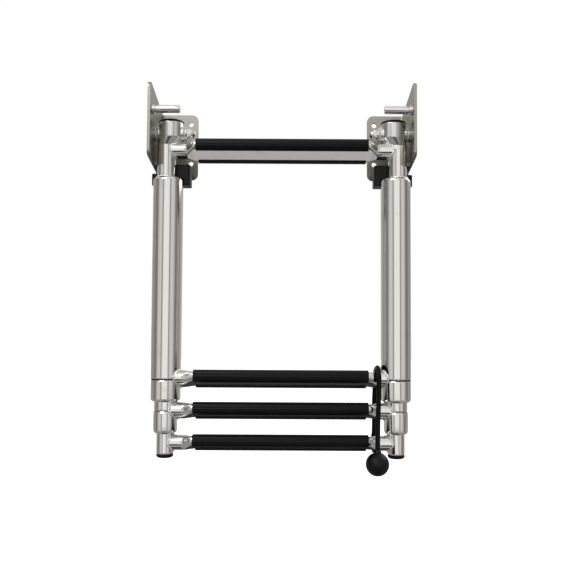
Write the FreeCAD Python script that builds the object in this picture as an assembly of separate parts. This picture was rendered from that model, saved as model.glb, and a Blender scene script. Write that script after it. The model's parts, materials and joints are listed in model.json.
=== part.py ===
import FreeCAD, Part
import math
import os

# Telescoping boat boarding ladder, shown closed and hanging from its two transom brackets.
# Millimetres.  The origin is on the transom, midway between the brackets.
# +X is to the right of someone facing the boat, +Y is towards the boat, +Z is up.

os.makedirs("parts", exist_ok=True)
Vector = FreeCAD.Vector

# ------------------------------------------------------------------ driving sizes

# Overall layout
post_spacing = 291.0            # between the axes of the two posts
hinge_standoff = 54.0           # hinge axis, out from the transom
hinge_height = 8.0              # hinge axis, above the origin
step_drop = 22.0                # top step, below the hinge axis
shoulder_drop = 57.0            # top of the post's shoulder, below the hinge axis
step_rise = 280.0               # between the lower steps when the ladder is pulled out
head_room = 5.04                # above the closed middle tube, below the end of the neck

# Telescoping tubes
tube_wall = 1.2
outer_tube_od = 38.0
outer_guide_wall = 3.5          # bush between the outer and middle tubes
inner_guide_wall = 2.25         # bush between the middle and inner tubes
shoulder_radius = 10.0
collar_length = 28.0
collar_lip = 2.5                # turned-in lip that keeps the guide bush in its collar
outer_collar_step = 0.2         # outer collar's face, in from its tube's
middle_collar_step = 0.75       # middle collar's face, out from its tube's
collar_edge_radius = 4.0
seam_chamfer = 0.5
bush_length = 14.0
foot_length = 14.2              # inner tube below the middle of step 4
foot_cap_height = 4.2
plug_depth = 12.0

# Neck and hinge knuckle above each post
neck_od = 24.0
neck_wall = 1.5
neck_offset = 2.5               # neck axis, outboard of the post axis
knuckle_od = 32.0
knuckle_inset = 5.5             # knuckle axis, inboard of the neck axis
knuckle_rise = 13.0             # knuckle top, above the hinge axis
knuckle_drop = 6.0              # where the knuckle starts to taper into the neck
knuckle_taper = 10.0
boss_od = 19.0
knuckle_cap_height = 3.2

# Steps
step_tilt = 18.0                # degrees, front edge up
step_depth = 41.0
step_height = 12.0
step_wall = 1.5
stub_depth = 31.0               # section at the posts, where the tube is left rounder
stub_height = 19.0
stub_inset = 1.75               # a slim post is deeper than its stub by this
stub_flat = 0.75                # least flat on a stub's top and bottom
stub_taper = 14.5
bare_stub = 17.5                # between the pad's end and the outer tube
pad_thickness = 1.9
pad_lip = 1.0                   # flat part of the pad that turns in under the step
rib_count = 7
rib_margin = 1.9                # outermost rib, in from the end of the flat top
rib_radius = 1.1
rib_rise = 0.5

# Brackets
plate = 3.5
bend_radius = 5.0
cheek_gap = 3.5                 # knuckle boss to the cheek
cheek_ahead = 36.0              # cheek's front edge, ahead of the hinge axis
cheek_rise = 59.0               # top of that edge, above the hinge axis
cheek_fall = 35.0               # bottom of that edge, below the hinge axis
cheek_corner = 7.0
flange_rise = 40.0              # flange top, above the hinge axis
flange_fall = 49.0              # flange bottom, below the hinge axis
flange_width = 51.5
flange_corner = 8.0
flange_hole_d = 6.6
flange_holes_across = 31.0
flange_holes_up = 54.0
flange_hole_edge = 9.5          # inboard hole column, in from the flange's edge

# Hinge hardware
bolt_d = 8.0
bolt_head_d = 16.0
bolt_head_height = 3.0
washer_d = 17.5
washer_thickness = 1.6
pivot_bush_d = 12.0
nut_flats = 13.0
nut_height = 5.5
nut_dome_radius = 5.6
nut_floor = 2.6                 # metal between the bore's end and the top of the dome

# Stop rod on each cheek
rod_d = 10.0
rod_length = 35.0
rod_forward = 24.0              # rod axis, ahead of the hinge axis
rod_rise = 25.0                 # rod axis, above the hinge axis
rod_foot_d = 12.0
rod_foot_length = 3.5
rod_groove_d = 8.0
rod_groove_length = 1.5
rod_spigot_d = 6.0

# Moulded rest behind each neck
rest_drop = 16.0                # rest top, below the middle of step 1
rest_overlap = 8.0              # rest bottom, below the shoulder top
rest_open = 6.0                 # tips of its arms, short of the post axis
rest_back_wall = 9.0            # behind the outer tube
rest_side_wall = 7.5            # inboard of the outer tube
rest_side_gap = 0.5
rest_lip = 4.0                  # lip under the cheek, outboard of the outer tube
rest_lip_drop = 1.0             # lip top, below the flange's bottom edge
rest_stem_width = 18.0
rest_corner = 3.0
screw_d = 6.0
screw_head_d = 10.5
screw_length = 18.0
screw_drop = 5.5                # rest screw, below the rest's top

# Fits
running = 0.05                  # radial, where one piece turns or slides on another
side_play = 0.15                # end float in the hinge stack
clearance = 0.5                 # between pieces that pass each other
rest_clearance = 0.6
stop_gap = 0.5                  # left between slider and guide with the ladder out

# Retaining strap: a rubber cord hung over the right stub of step 2, with a ball on its
# front end and an eyelet on its back end.  Points are from the middle of that stub.
strap_d = 6.0
strap_gap = 2.0                 # strap to the outer tube
ball_d = 28.0
eyelet_ring_radius = 7.0
eyelet_cord_d = 5.0
eyelet_drop = 7.0
strap_points = [
    (-3.6, -32.4, -85.2),
    (-2.6, -26.4, -58.0),
    (-1.0, -21.8, -30.0),
    (0.0, -19.8, -6.0),
    (0.0, -19.6, 7.0),
    (0.0, -9.6, 17.6),
    (0.0, 13.6, 10.9),
    (0.0, 19.6, 3.8),
    (0.0, 20.4, -10.0),
    (-0.8, 23.0, -34.0),
    (-0.2, 24.6, -60.0),
    (-1.0, 25.4, -80.0),
]
ball_offset = (-4.2, -35.4, -98.4)

# ------------------------------------------------------------------ derived places

post_x = post_spacing / 2
post_y = -hinge_standoff
middle_tube_od = outer_tube_od - 2 * (tube_wall + outer_guide_wall + running)
inner_tube_od = middle_tube_od - 2 * (tube_wall + inner_guide_wall + running)
outer_collar_od = outer_tube_od - 2 * outer_collar_step
middle_collar_od = middle_tube_od + 2 * middle_collar_step
neck_x = post_x + neck_offset
knuckle_x = neck_x - knuckle_inset
boss_outer_x = neck_x + neck_od / 2 - clearance
boss_inner_x = 2 * knuckle_x - boss_outer_x
cheek_in_x = boss_outer_x + cheek_gap
cheek_out_x = cheek_in_x + plate
flange_in_x = cheek_out_x - flange_width
cheek_depth = hinge_standoff + cheek_ahead
cheek_front_top = hinge_height + cheek_rise
cheek_front_bottom = hinge_height - cheek_fall
flange_top = hinge_height + flange_rise
flange_bottom = hinge_height - flange_fall

tilt = math.radians(step_tilt)
stub_reach = stub_height / 2 + (stub_depth - stub_height) / 2 * math.sin(tilt)
step_gap = collar_length + clearance + stub_reach       # between the lower steps when closed
slide_travel = step_rise - step_gap
guide_stack = collar_lip + 2 * bush_length + stop_gap
middle_tube_rise = guide_stack + slide_travel - collar_length       # its top, above the seam
neck_depth = shoulder_radius - 2 * tube_wall                        # neck inside the shoulder
outer_tube_length = middle_tube_rise + head_room + neck_depth
shoulder_top_z = hinge_height - shoulder_drop
seam_1_z = shoulder_top_z - outer_tube_length
collar_1_bottom_z = seam_1_z - collar_length
seam_2_z = collar_1_bottom_z - clearance - stub_reach
collar_2_bottom_z = seam_2_z - collar_length
step_4_z = collar_2_bottom_z - clearance - stub_reach
inner_tube_bottom_z = step_4_z - foot_length

step_1_z = hinge_height - step_drop
step_2_z = seam_1_z
step_3_z = seam_2_z

outer_bore_r = outer_tube_od / 2 - tube_wall
middle_bore_r = middle_tube_od / 2 - tube_wall
inner_bore_r = inner_tube_od / 2 - tube_wall

guide_1_bottom_z = collar_1_bottom_z + collar_lip
guide_2_bottom_z = collar_2_bottom_z + collar_lip
middle_tube_top_z = seam_1_z + middle_tube_rise
inner_tube_top_z = seam_2_z + middle_tube_rise

pad_length = post_spacing - outer_tube_od - 2 * bare_stub
pad_half = pad_length / 2
pad_opening = step_depth - step_height - 2 * pad_lip
rib_pitch = (step_depth - step_height - 2 * rib_margin) / (rib_count - 1)
stub_start_x = pad_half + clearance
strap_x = post_x - outer_tube_od / 2 - strap_gap - strap_d / 2

rest_top = step_1_z - rest_drop
rest_bottom = shoulder_top_z - rest_overlap
rest_back = hinge_standoff - outer_tube_od / 2 - rest_back_wall
rest_reach = hinge_standoff - rest_open
rest_in_x = post_x - outer_tube_od / 2 - rest_side_wall
rest_lip_x = post_x + outer_tube_od / 2 + rest_lip

hinge = Vector(0, post_y, hinge_height)


# ------------------------------------------------------------------ shape helpers

def rounded_wire(points, radii):
    """Closed wire through the points, with each corner rounded to its own radius."""
    edges = []
    count = len(points)
    corners = []
    for i, corner in enumerate(points):
        back = (points[i - 1] - corner).normalize()
        ahead = (points[(i + 1) % count] - corner).normalize()
        half_turn = (math.pi - back.getAngle(ahead)) / 2
        setback = radii[i] * math.tan(half_turn)
        inward = (back + ahead).normalize()
        middle = corner + inward * (radii[i] / math.cos(half_turn) - radii[i])
        corners.append((corner + back * setback, middle, corner + ahead * setback))
    for i, (start, middle, end) in enumerate(corners):
        if radii[i] > 0:
            edges.append(Part.Arc(start, middle, end).toShape())
        next_start = corners[(i + 1) % count][0]
        if end.distanceToPoint(next_start) > 1e-6:
            edges.append(Part.LineSegment(end, next_start).toShape())
    return Part.Wire(edges)


def prism(points, radii, travel):
    """Rounded outline pushed along the travel vector."""
    return Part.Face(rounded_wire(points, radii)).extrude(travel)


def spun(profile, radii):
    """Solid of revolution about the local Z axis, from (radius, height) corners."""
    points = [Vector(radius, 0, height) for radius, height in profile]
    face = Part.Face(rounded_wire(points, radii))
    return face.revolve(Vector(0, 0, 0), Vector(0, 0, 1), 360)


def along(shape, base, direction):
    """Turn a shape made on local Z so that Z points along direction, and move it to base."""
    turn = FreeCAD.Rotation(Vector(0, 0, 1), direction)
    placed = shape.copy()
    placed.Placement = FreeCAD.Placement(base, turn)
    return placed


def rod(radius, base, travel):
    """Solid round bar from base, along the travel vector."""
    return Part.makeCylinder(radius, travel.Length, base, travel)


def upright(radius, low_z, high_z, x):
    """Solid vertical round bar in the plane of the posts."""
    return rod(radius, Vector(x, post_y, low_z), Vector(0, 0, high_z - low_z))


def sleeve(outer_radius, inner_radius, low_z, high_z, x):
    """Vertical tube in the plane of the posts."""
    return upright(outer_radius, low_z, high_z, x).cut(upright(inner_radius, low_z, high_z, x))


def ring_on_hinge(outer_radius, inner_radius, from_x, to_x):
    """Ring on the hinge axis between two X places."""
    base = Vector(from_x, hinge.y, hinge.z)
    travel = Vector(to_x - from_x, 0, 0)
    return rod(outer_radius, base, travel).cut(rod(inner_radius, base, travel))


def block(low, high):
    """Box between two corners."""
    size = Vector(*high) - Vector(*low)
    return Part.makeBox(size.x, size.y, size.z, Vector(*low))


def mirrored(shape):
    """Copy of a right-hand shape on the left of the ladder."""
    return shape.mirror(Vector(0, 0, 0), Vector(1, 0, 0))


def write(name, shape):
    """Write one node and report it."""
    shape.exportStep("parts/" + name + ".step")
    print(name, len(shape.Solids), "solid(s)", round(shape.Volume / 1000, 2), "cm3", shape.isValid())


def write_pair(name, right):
    """Write a right-hand piece and its mirror image as two nodes."""
    write(name + "_right", right)
    write(name + "_left", mirrored(right))


def write_group(name, right_solids):
    """Write identical pieces of both sides as one node of separate solids."""
    write(name, Part.makeCompound(right_solids + [mirrored(solid) for solid in right_solids]))


# ------------------------------------------------------------------ brackets

def bracket():
    """Bent plate: an upright cheek for the hinge and a flange for the transom."""
    low_z = min(flange_bottom, cheek_front_bottom)
    high_z = max(flange_top, cheek_front_top)
    bent = prism(
        [
            Vector(flange_in_x, 0, low_z),
            Vector(cheek_out_x, 0, low_z),
            Vector(cheek_out_x, -cheek_depth, low_z),
            Vector(cheek_in_x, -cheek_depth, low_z),
            Vector(cheek_in_x, -plate, low_z),
            Vector(flange_in_x, -plate, low_z),
        ],
        [0, bend_radius, 0, 0, bend_radius - plate, 0],
        Vector(0, 0, high_z - low_z),
    )
    bend_y = -bend_radius
    side = prism(
        [
            Vector(flange_in_x, 0, flange_bottom),
            Vector(flange_in_x, bend_y, flange_bottom),
            Vector(flange_in_x, -cheek_depth, cheek_front_bottom),
            Vector(flange_in_x, -cheek_depth, cheek_front_top),
            Vector(flange_in_x, bend_y, flange_top),
            Vector(flange_in_x, 0, flange_top),
        ],
        [0, 0, cheek_corner, cheek_corner, 0, 0],
        Vector(flange_width, 0, 0),
    )
    front = prism(
        [
            Vector(flange_in_x, 0, flange_bottom),
            Vector(flange_in_x, 0, flange_top),
            Vector(cheek_in_x, 0, flange_top),
            Vector(cheek_in_x, 0, high_z),
            Vector(cheek_out_x, 0, high_z),
            Vector(cheek_out_x, 0, flange_bottom),
        ],
        [flange_corner, flange_corner, 0, 0, 0, 0],
        Vector(0, -cheek_depth, 0),
    )
    body = bent.common(side).common(front)
    body = body.cut(rod(bolt_d / 2 + running, Vector(cheek_in_x, hinge.y, hinge.z), Vector(plate, 0, 0)))
    body = body.cut(rod(rod_spigot_d / 2, rod_seat(), Vector(plate, 0, 0)))
    for x, z in flange_hole_places():
        body = body.cut(rod(flange_hole_d / 2, Vector(x, -plate, z), Vector(0, plate, 0)))
    return body.cut(rest_screw()).removeSplitter()


def flange_hole_places():
    """X and Z of the four screw holes of the right flange."""
    column_x = flange_in_x + flange_hole_edge
    low_z = hinge_height - flange_holes_up / 2
    return [
        (column_x + across, low_z + up)
        for across in (0, flange_holes_across)
        for up in (0, flange_holes_up)
    ]


def rod_seat():
    """Where the stop rod's axis meets the inner face of the right cheek."""
    return Vector(cheek_in_x, hinge.y - rod_forward, hinge.z + rod_rise)


def stop_rod():
    """Turned rod that catches the neck when the ladder has swung up."""
    radius = rod_d / 2
    groove_end = rod_foot_length + rod_groove_length
    shank = spun(
        [
            (0, -plate),
            (rod_spigot_d / 2, -plate),
            (rod_spigot_d / 2, 0),
            (rod_foot_d / 2, 0),
            (rod_foot_d / 2, rod_foot_length),
            (rod_groove_d / 2, rod_foot_length),
            (rod_groove_d / 2, groove_end),
            (radius, groove_end),
            (radius, rod_length),
            (0, rod_length),
        ],
        [0, 0, 0, 0, 0.8, 0, 0, 0.5, 1.0, 0],
    )
    return along(shank, rod_seat(), Vector(-1, 0, 0))


def post_rest():
    """Moulded saddle on the flange that the neck lies in while the ladder hangs."""
    outboard_x = cheek_in_x - rest_side_gap
    stem_x = stem_middle_x()
    lip_top = flange_bottom - rest_lip_drop
    saddle = prism(
        [
            Vector(rest_in_x, -rest_back, rest_bottom),
            Vector(outboard_x, -rest_back, rest_bottom),
            Vector(outboard_x, -rest_reach, rest_bottom),
            Vector(rest_in_x, -rest_reach, rest_bottom),
        ],
        [rest_corner, rest_corner, 0, rest_corner],
        Vector(0, 0, rest_top - rest_bottom),
    )
    lip = prism(
        [
            Vector(post_x, -rest_back, rest_bottom),
            Vector(rest_lip_x, -rest_back, rest_bottom),
            Vector(rest_lip_x, -rest_reach, rest_bottom),
            Vector(post_x, -rest_reach, rest_bottom),
        ],
        [0, rest_corner, rest_corner, 0],
        Vector(0, 0, lip_top - rest_bottom),
    )
    stem = block(
        (stem_x - rest_stem_width / 2, -rest_back - 1, flange_bottom),
        (stem_x + rest_stem_width / 2, -plate, rest_top),
    )
    body = saddle.fuse(lip).fuse(stem)
    shoulder_z = shoulder_top_z + rest_clearance
    body = body.cut(upright(neck_od / 2 + rest_clearance, rest_bottom, rest_top, neck_x))
    body = body.cut(upright(outer_tube_od / 2 + rest_clearance, rest_bottom, shoulder_z, post_x))
    return body.cut(rest_screw()).removeSplitter()


def stem_middle_x():
    """Middle of the stem, halfway between the two columns of flange holes."""
    return flange_in_x + flange_hole_edge + flange_holes_across / 2


def rest_screw():
    """Countersunk screw from the back of the flange into the rest."""
    sink = (screw_head_d - screw_d) / 2
    screw = spun(
        [
            (0, 0), (screw_head_d / 2, 0), (screw_d / 2, sink), (screw_d / 2, screw_length),
            (0, screw_length),
        ],
        [0, 0, 0, 0.8, 0],
    )
    return along(screw, Vector(stem_middle_x(), 0, rest_top - screw_drop), Vector(0, -1, 0))


# ------------------------------------------------------------------ hinge hardware

def inner_stack_x():
    """X of the faces inboard of the knuckle: bush flange, washer outer face, nut face."""
    bush_face = boss_inner_x - washer_thickness
    washer_face = bush_face - side_play
    return bush_face, washer_face, washer_face - washer_thickness


def pivot_bolt():
    """Domed-head bolt from outside the cheek, through the knuckle."""
    nut_face_x = inner_stack_x()[2]
    tip = cheek_out_x - nut_face_x + nut_height + nut_dome_radius - nut_floor - 1
    bolt = spun(
        [
            (0, -bolt_head_height),
            (bolt_head_d / 2, -bolt_head_height),
            (bolt_head_d / 2, 0),
            (bolt_d / 2, 0),
            (bolt_d / 2, tip),
            (0, tip),
        ],
        [0, bolt_head_height * 0.9, 0, 0, 0.8, 0],
    )
    return along(bolt, Vector(cheek_out_x, hinge.y, hinge.z), Vector(-1, 0, 0))


def cap_nut():
    """Hexagon nut with a closed dome."""
    corner = nut_flats / math.sqrt(3)
    hexagon = [
        Vector(corner * math.cos(math.radians(60 * i)), corner * math.sin(math.radians(60 * i)), 0)
        for i in range(6)
    ]
    body = prism(hexagon, [0] * 6, Vector(0, 0, nut_height))
    dome = Part.makeSphere(nut_dome_radius, Vector(0, 0, nut_height))
    above = Part.makeCylinder(nut_flats, nut_dome_radius, Vector(0, 0, nut_height))
    body = body.fuse(dome.common(above))
    depth = nut_height + nut_dome_radius - nut_floor
    body = body.cut(Part.makeCylinder(bolt_d / 2, depth))
    return along(body, Vector(inner_stack_x()[2], hinge.y, hinge.z), Vector(-1, 0, 0))


def pivot_bush(face_x, inward):
    """Flanged nylon bush in one end of the knuckle's cross hole; inward is -1 or 1 along X."""
    length = (boss_outer_x - boss_inner_x) / 2 - clearance
    flange = ring_on_hinge(washer_d / 2, bolt_d / 2 + running, face_x, face_x - inward * washer_thickness)
    barrel = ring_on_hinge(pivot_bush_d / 2, bolt_d / 2 + running, face_x, face_x + inward * length)
    return flange.fuse(barrel).removeSplitter()


def outer_washer():
    """Washer that fills the gap between the cheek and the bush."""
    bush_face = boss_outer_x + washer_thickness
    return ring_on_hinge(washer_d / 2, bolt_d / 2, bush_face + side_play, cheek_in_x)


def inner_washer():
    """Washer under the cap nut."""
    washer_face, nut_face = inner_stack_x()[1:]
    return ring_on_hinge(washer_d / 2, bolt_d / 2, nut_face, washer_face)


# ------------------------------------------------------------------ outer section

def knuckle():
    """Cast head: an upright drum, a cross boss for the bolt, and a taper into the neck."""
    drum_low = hinge_height - knuckle_drop
    taper_low = drum_low - knuckle_taper
    drum = upright(knuckle_od / 2, drum_low, hinge_height + knuckle_rise, knuckle_x)
    wide = Part.Wire(Part.makeCircle(knuckle_od / 2, Vector(knuckle_x, post_y, drum_low)))
    narrow = Part.Wire(Part.makeCircle(neck_od / 2, Vector(neck_x, post_y, taper_low)))
    taper = Part.makeLoft([wide, narrow], True, True)
    boss_start = Vector(boss_inner_x, hinge.y, hinge.z)
    boss = rod(boss_od / 2, boss_start, Vector(boss_outer_x - boss_inner_x, 0, 0))
    body = drum.fuse(taper).fuse(boss)
    return body.cut(rod(pivot_bush_d / 2, Vector(boss_inner_x, hinge.y, hinge.z),
                        Vector(boss_outer_x - boss_inner_x, 0, 0))).removeSplitter()


def knuckle_cap():
    """Black domed cap on top of the knuckle."""
    radius = knuckle_od / 2
    cap = spun(
        [(0, 0), (radius, 0), (radius, knuckle_cap_height), (0, knuckle_cap_height)],
        [0, 0, knuckle_cap_height * 0.7, 0],
    )
    return along(cap, Vector(knuckle_x, post_y, hinge_height + knuckle_rise), Vector(0, 0, 1))


def neck_low_z():
    """Bottom of the neck tube, just inside the post's shoulder."""
    return shoulder_top_z - neck_depth


def neck_high_z():
    """Top of the neck tube, where the knuckle's taper starts."""
    return hinge_height - knuckle_drop - knuckle_taper


def neck_tube():
    """Plain tube from the shoulder up to the knuckle."""
    return sleeve(neck_od / 2, neck_od / 2 - neck_wall, neck_low_z(), neck_high_z(), neck_x)


def outer_tube():
    """Post tube with its shoulder spun in to the neck."""
    low = seam_1_z
    length = shoulder_top_z - low
    radius = outer_tube_od / 2
    outside = spun(
        [(0, 0), (radius, 0), (radius, length), (0, length)],
        [0, seam_chamfer, shoulder_radius, 0],
    )
    inside = spun(
        [(0, 0), (outer_bore_r, 0), (outer_bore_r, length - tube_wall), (0, length - tube_wall)],
        [0, 0, shoulder_radius - tube_wall, 0],
    )
    shell = along(outside.cut(inside), Vector(post_x, post_y, low), Vector(0, 0, 1))
    return shell.cut(upright(neck_od / 2, neck_low_z(), shoulder_top_z + 1, neck_x))


def collar(outer_d, bore_r, hole_r, bottom_z):
    """Collar below a tube, with a turned-in lip that keeps the guide bush."""
    outside = spun(
        [(0, 0), (outer_d / 2, 0), (outer_d / 2, collar_length), (0, collar_length)],
        [0, collar_edge_radius, seam_chamfer, 0],
    )
    bore = Part.makeCylinder(bore_r, collar_length, Vector(0, 0, collar_lip))
    hole = Part.makeCylinder(hole_r, collar_length)
    return along(outside.cut(bore).cut(hole), Vector(post_x, post_y, bottom_z), Vector(0, 0, 1))


# ------------------------------------------------------------------ steps

def stadium(x, depth, height):
    """Flat oval outline across a step, centred on the X axis."""
    half = (depth - height) / 2
    r = height / 2
    bottom = Part.LineSegment(Vector(x, -half, -r), Vector(x, half, -r))
    back = Part.Arc(Vector(x, half, -r), Vector(x, half + r, 0), Vector(x, half, r))
    top = Part.LineSegment(Vector(x, half, r), Vector(x, -half, r))
    front = Part.Arc(Vector(x, -half, r), Vector(x, -half - r, 0), Vector(x, -half, -r))
    return Part.Wire([bottom.toShape(), back.toShape(), top.toShape(), front.toShape()])


def step_bar(end_x, host_od, inset):
    """Solid of a step: flat in the middle and rounder towards each end, shrunk by inset."""
    end_depth = min(stub_depth, host_od - stub_inset)
    end_height = min(stub_height, end_depth - stub_flat)
    flat = (step_depth - 2 * inset, step_height - 2 * inset)
    round_end = (end_depth - 2 * inset, end_height - 2 * inset)
    taper_end_x = stub_start_x + stub_taper
    middle = Part.Face(stadium(-stub_start_x, *flat)).extrude(Vector(2 * stub_start_x, 0, 0))
    taper = Part.makeLoft([stadium(stub_start_x, *flat), stadium(taper_end_x, *round_end)], True, True)
    stub = Part.Face(stadium(taper_end_x, *round_end)).extrude(Vector(end_x - taper_end_x, 0, 0))
    end = taper.fuse(stub)
    return middle.fuse(end).fuse(mirrored(end))


def tilted(shape, z):
    """Lay a step on the plane of the posts, at its height and with its front edge up."""
    placed = shape.copy()
    placed.rotate(Vector(0, 0, 0), Vector(1, 0, 0), -step_tilt)
    placed.translate(Vector(0, post_y, z))
    return placed


def step_tube(z, end_x, host_od, hosts):
    """Flattened step tube, its ends cut to meet the solids it is welded to."""
    hollow = step_bar(end_x, host_od, 0).cut(step_bar(end_x, host_od, step_wall))
    body = tilted(hollow, z)
    for host in hosts:
        body = body.cut(host).cut(mirrored(host))
    return biggest(body)


def biggest(shape):
    """The largest solid of a cut shape, without the slivers left inside the posts."""
    return max(shape.Solids, key=lambda solid: solid.Volume)


def step_pad(z):
    """Ribbed tread that wraps the top and both edges of a step."""
    wide = stadium(-pad_half, step_depth + 2 * pad_thickness, step_height + 2 * pad_thickness)
    pad = Part.Face(wide).extrude(Vector(pad_length, 0, 0))
    for i in range(rib_count):
        rib_y = (i - (rib_count - 1) / 2) * rib_pitch
        rib_z = step_height / 2 + pad_thickness + rib_rise - rib_radius
        pad = pad.fuse(rod(rib_radius, Vector(-pad_half, rib_y, rib_z), Vector(pad_length, 0, 0)))
    core = Part.Face(stadium(-pad_half, step_depth, step_height)).extrude(Vector(pad_length, 0, 0))
    gap = block((-pad_half, -pad_opening / 2, -step_height), (pad_half, pad_opening / 2, 0))
    return tilted(pad.cut(core).cut(gap).removeSplitter(), z)


# ------------------------------------------------------------------ inner section feet

def foot_cap():
    """Black end cap pushed into the bottom of an inner tube."""
    radius = inner_tube_od / 2
    cap = spun(
        [
            (0, -foot_cap_height),
            (radius, -foot_cap_height),
            (radius, 0),
            (inner_bore_r, 0),
            (inner_bore_r, plug_depth),
            (0, plug_depth),
        ],
        [0, foot_cap_height * 0.7, 0, 0, 1.0, 0],
    )
    return along(cap, Vector(post_x, post_y, inner_tube_bottom_z), Vector(0, 0, 1))


# ------------------------------------------------------------------ retaining strap

def strap_anchor():
    """Middle of step 2's right stub, where the strap crosses it."""
    return Vector(strap_x, post_y, step_2_z)


def strap_route():
    """Corner points of the strap, in the ladder's frame."""
    return [strap_anchor() + Vector(*point) for point in strap_points]


def strap():
    """Round rubber cord: straight runs joined by tangent arcs."""
    points = strap_route()
    edges = []
    start = points[0]
    path_length = 0
    for before, corner, after in zip(points, points[1:], points[2:]):
        back = (before - corner).normalize()
        ahead = (after - corner).normalize()
        half_turn = (math.pi - back.getAngle(ahead)) / 2
        setback = 0.45 * min((before - corner).Length, (after - corner).Length)
        radius = setback / math.tan(half_turn)
        middle = corner + (back + ahead).normalize() * (radius / math.cos(half_turn) - radius)
        entry = corner + back * setback
        leave = corner + ahead * setback
        edges.append(Part.LineSegment(start, entry).toShape())
        edges.append(Part.Arc(entry, middle, leave).toShape())
        path_length += (entry - start).Length + 2 * radius * half_turn
        start = leave
        print("  strap corner", round(math.degrees(2 * half_turn), 1), "deg, radius", round(radius, 1))
    edges.append(Part.LineSegment(start, points[-1]).toShape())
    path_length += (points[-1] - start).Length
    path = Part.Wire(edges)
    section = Part.Wire(Part.makeCircle(strap_d / 2, points[0], points[1] - points[0]))
    tube = path.makePipeShell([section], True, True)
    expected = math.pi * (strap_d / 2) ** 2 * path_length
    print("  strap length", round(path_length, 1), "volume ratio", round(tube.Volume / expected, 4))
    return tube


def strap_ball(cord):
    """Ball on the strap's front end, bored for the cord."""
    return Part.makeSphere(ball_d / 2, strap_anchor() + Vector(*ball_offset)).cut(cord)


def strap_eyelet(cord):
    """Ring on the strap's back end that buttons over the ball."""
    centre = strap_route()[-1] - Vector(0, 0, eyelet_drop)
    ring = Part.makeTorus(eyelet_ring_radius, eyelet_cord_d / 2, centre, Vector(1, 0, 0))
    return ring.cut(cord)


# ------------------------------------------------------------------ build every node

# Brackets
write_pair("bracket", bracket())
write_pair("stop_rod", stop_rod())
write_pair("post_rest", post_rest())
write_group("rest_screws", [rest_screw()])
write_pair("pivot_bolt", pivot_bolt())
write_group("cap_nuts", [cap_nut()])
write_group("cheek_washers", [outer_washer()])
write_group("nut_washers", [inner_washer()])

# Outer section
write_pair("outer_tube", outer_tube())
write_pair("neck_tube", neck_tube())
write_pair("hinge_knuckle", knuckle())
write_pair("knuckle_cap", knuckle_cap())
write_group("pivot_bushes", [pivot_bush(boss_outer_x, -1), pivot_bush(boss_inner_x, 1)])
guide_1_r = middle_tube_od / 2 + running
write_pair(
    "outer_collar",
    collar(outer_collar_od, outer_bore_r, guide_1_r + clearance, collar_1_bottom_z),
)
guide_1_top_z = guide_1_bottom_z + bush_length
write_pair("outer_guide_bush", sleeve(outer_bore_r, guide_1_r, guide_1_bottom_z, guide_1_top_z, post_x))

neck_core = upright(neck_od / 2, neck_low_z(), neck_high_z(), neck_x)
outer_core = upright(outer_tube_od / 2, seam_1_z, shoulder_top_z - shoulder_radius, post_x)
outer_collar_core = upright(outer_collar_od / 2, collar_1_bottom_z, seam_1_z, post_x)
write("step_1_tube", step_tube(step_1_z, neck_x, neck_od, [neck_core, knuckle()]))
write("step_1_pad", step_pad(step_1_z))
write("step_2_tube", step_tube(step_2_z, post_x, outer_tube_od, [outer_core, outer_collar_core]))
write("step_2_pad", step_pad(step_2_z))

# Middle section
middle_tube = sleeve(middle_tube_od / 2, middle_bore_r, seam_2_z, middle_tube_top_z, post_x)
write_pair("middle_tube", middle_tube)
slider_1_bottom_z = middle_tube_top_z - bush_length
slider_1_r = outer_bore_r - running
write_pair(
    "middle_slider",
    sleeve(slider_1_r, middle_tube_od / 2, slider_1_bottom_z, middle_tube_top_z, post_x),
)
guide_2_r = inner_tube_od / 2 + running
write_pair(
    "middle_collar",
    collar(middle_collar_od, middle_bore_r, guide_2_r + clearance, collar_2_bottom_z),
)
guide_2_top_z = guide_2_bottom_z + bush_length
write_pair("middle_guide_bush", sleeve(middle_bore_r, guide_2_r, guide_2_bottom_z, guide_2_top_z, post_x))
middle_core = upright(middle_tube_od / 2, seam_2_z, middle_tube_top_z, post_x)
middle_collar_core = upright(middle_collar_od / 2, collar_2_bottom_z, seam_2_z, post_x)
write("step_3_tube", step_tube(step_3_z, post_x, middle_tube_od, [middle_core, middle_collar_core]))
write("step_3_pad", step_pad(step_3_z))

# Inner section
inner_tube = sleeve(inner_tube_od / 2, inner_bore_r, inner_tube_bottom_z, inner_tube_top_z, post_x)
write_pair("inner_tube", inner_tube)
slider_2_bottom_z = inner_tube_top_z - bush_length
slider_2_r = middle_bore_r - running
write_pair(
    "inner_slider",
    sleeve(slider_2_r, inner_tube_od / 2, slider_2_bottom_z, inner_tube_top_z, post_x),
)
write_pair("foot_cap", foot_cap())
inner_core = upright(inner_tube_od / 2, inner_tube_bottom_z, inner_tube_top_z, post_x)
write("step_4_tube", step_tube(step_4_z, post_x, inner_tube_od, [inner_core]))
write("step_4_pad", step_pad(step_4_z))

# Retaining strap
cord = strap()
write("retaining_strap", cord)
write("strap_ball", strap_ball(cord))
write("strap_eyelet", strap_eyelet(cord))

print("travel of each slide", round(slide_travel, 2))
print("steps at z", [round(z, 2) for z in (step_1_z, step_2_z, step_3_z, step_4_z)])
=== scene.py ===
# %% [markdown]
# # A telescoping boat boarding ladder
#
# The ladder hangs from two bent plates on a boat's transom. Two posts of three nested
# tubes carry four padded steps, and a rubber strap with a ball hangs over the second
# step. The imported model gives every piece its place. This lesson gives each piece the
# fine shape and finish of the real one, and lets it ride on the body that it moves with.

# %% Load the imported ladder
import json
import math

import bmesh
import bpy
from mathutils import Matrix, Vector

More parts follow.
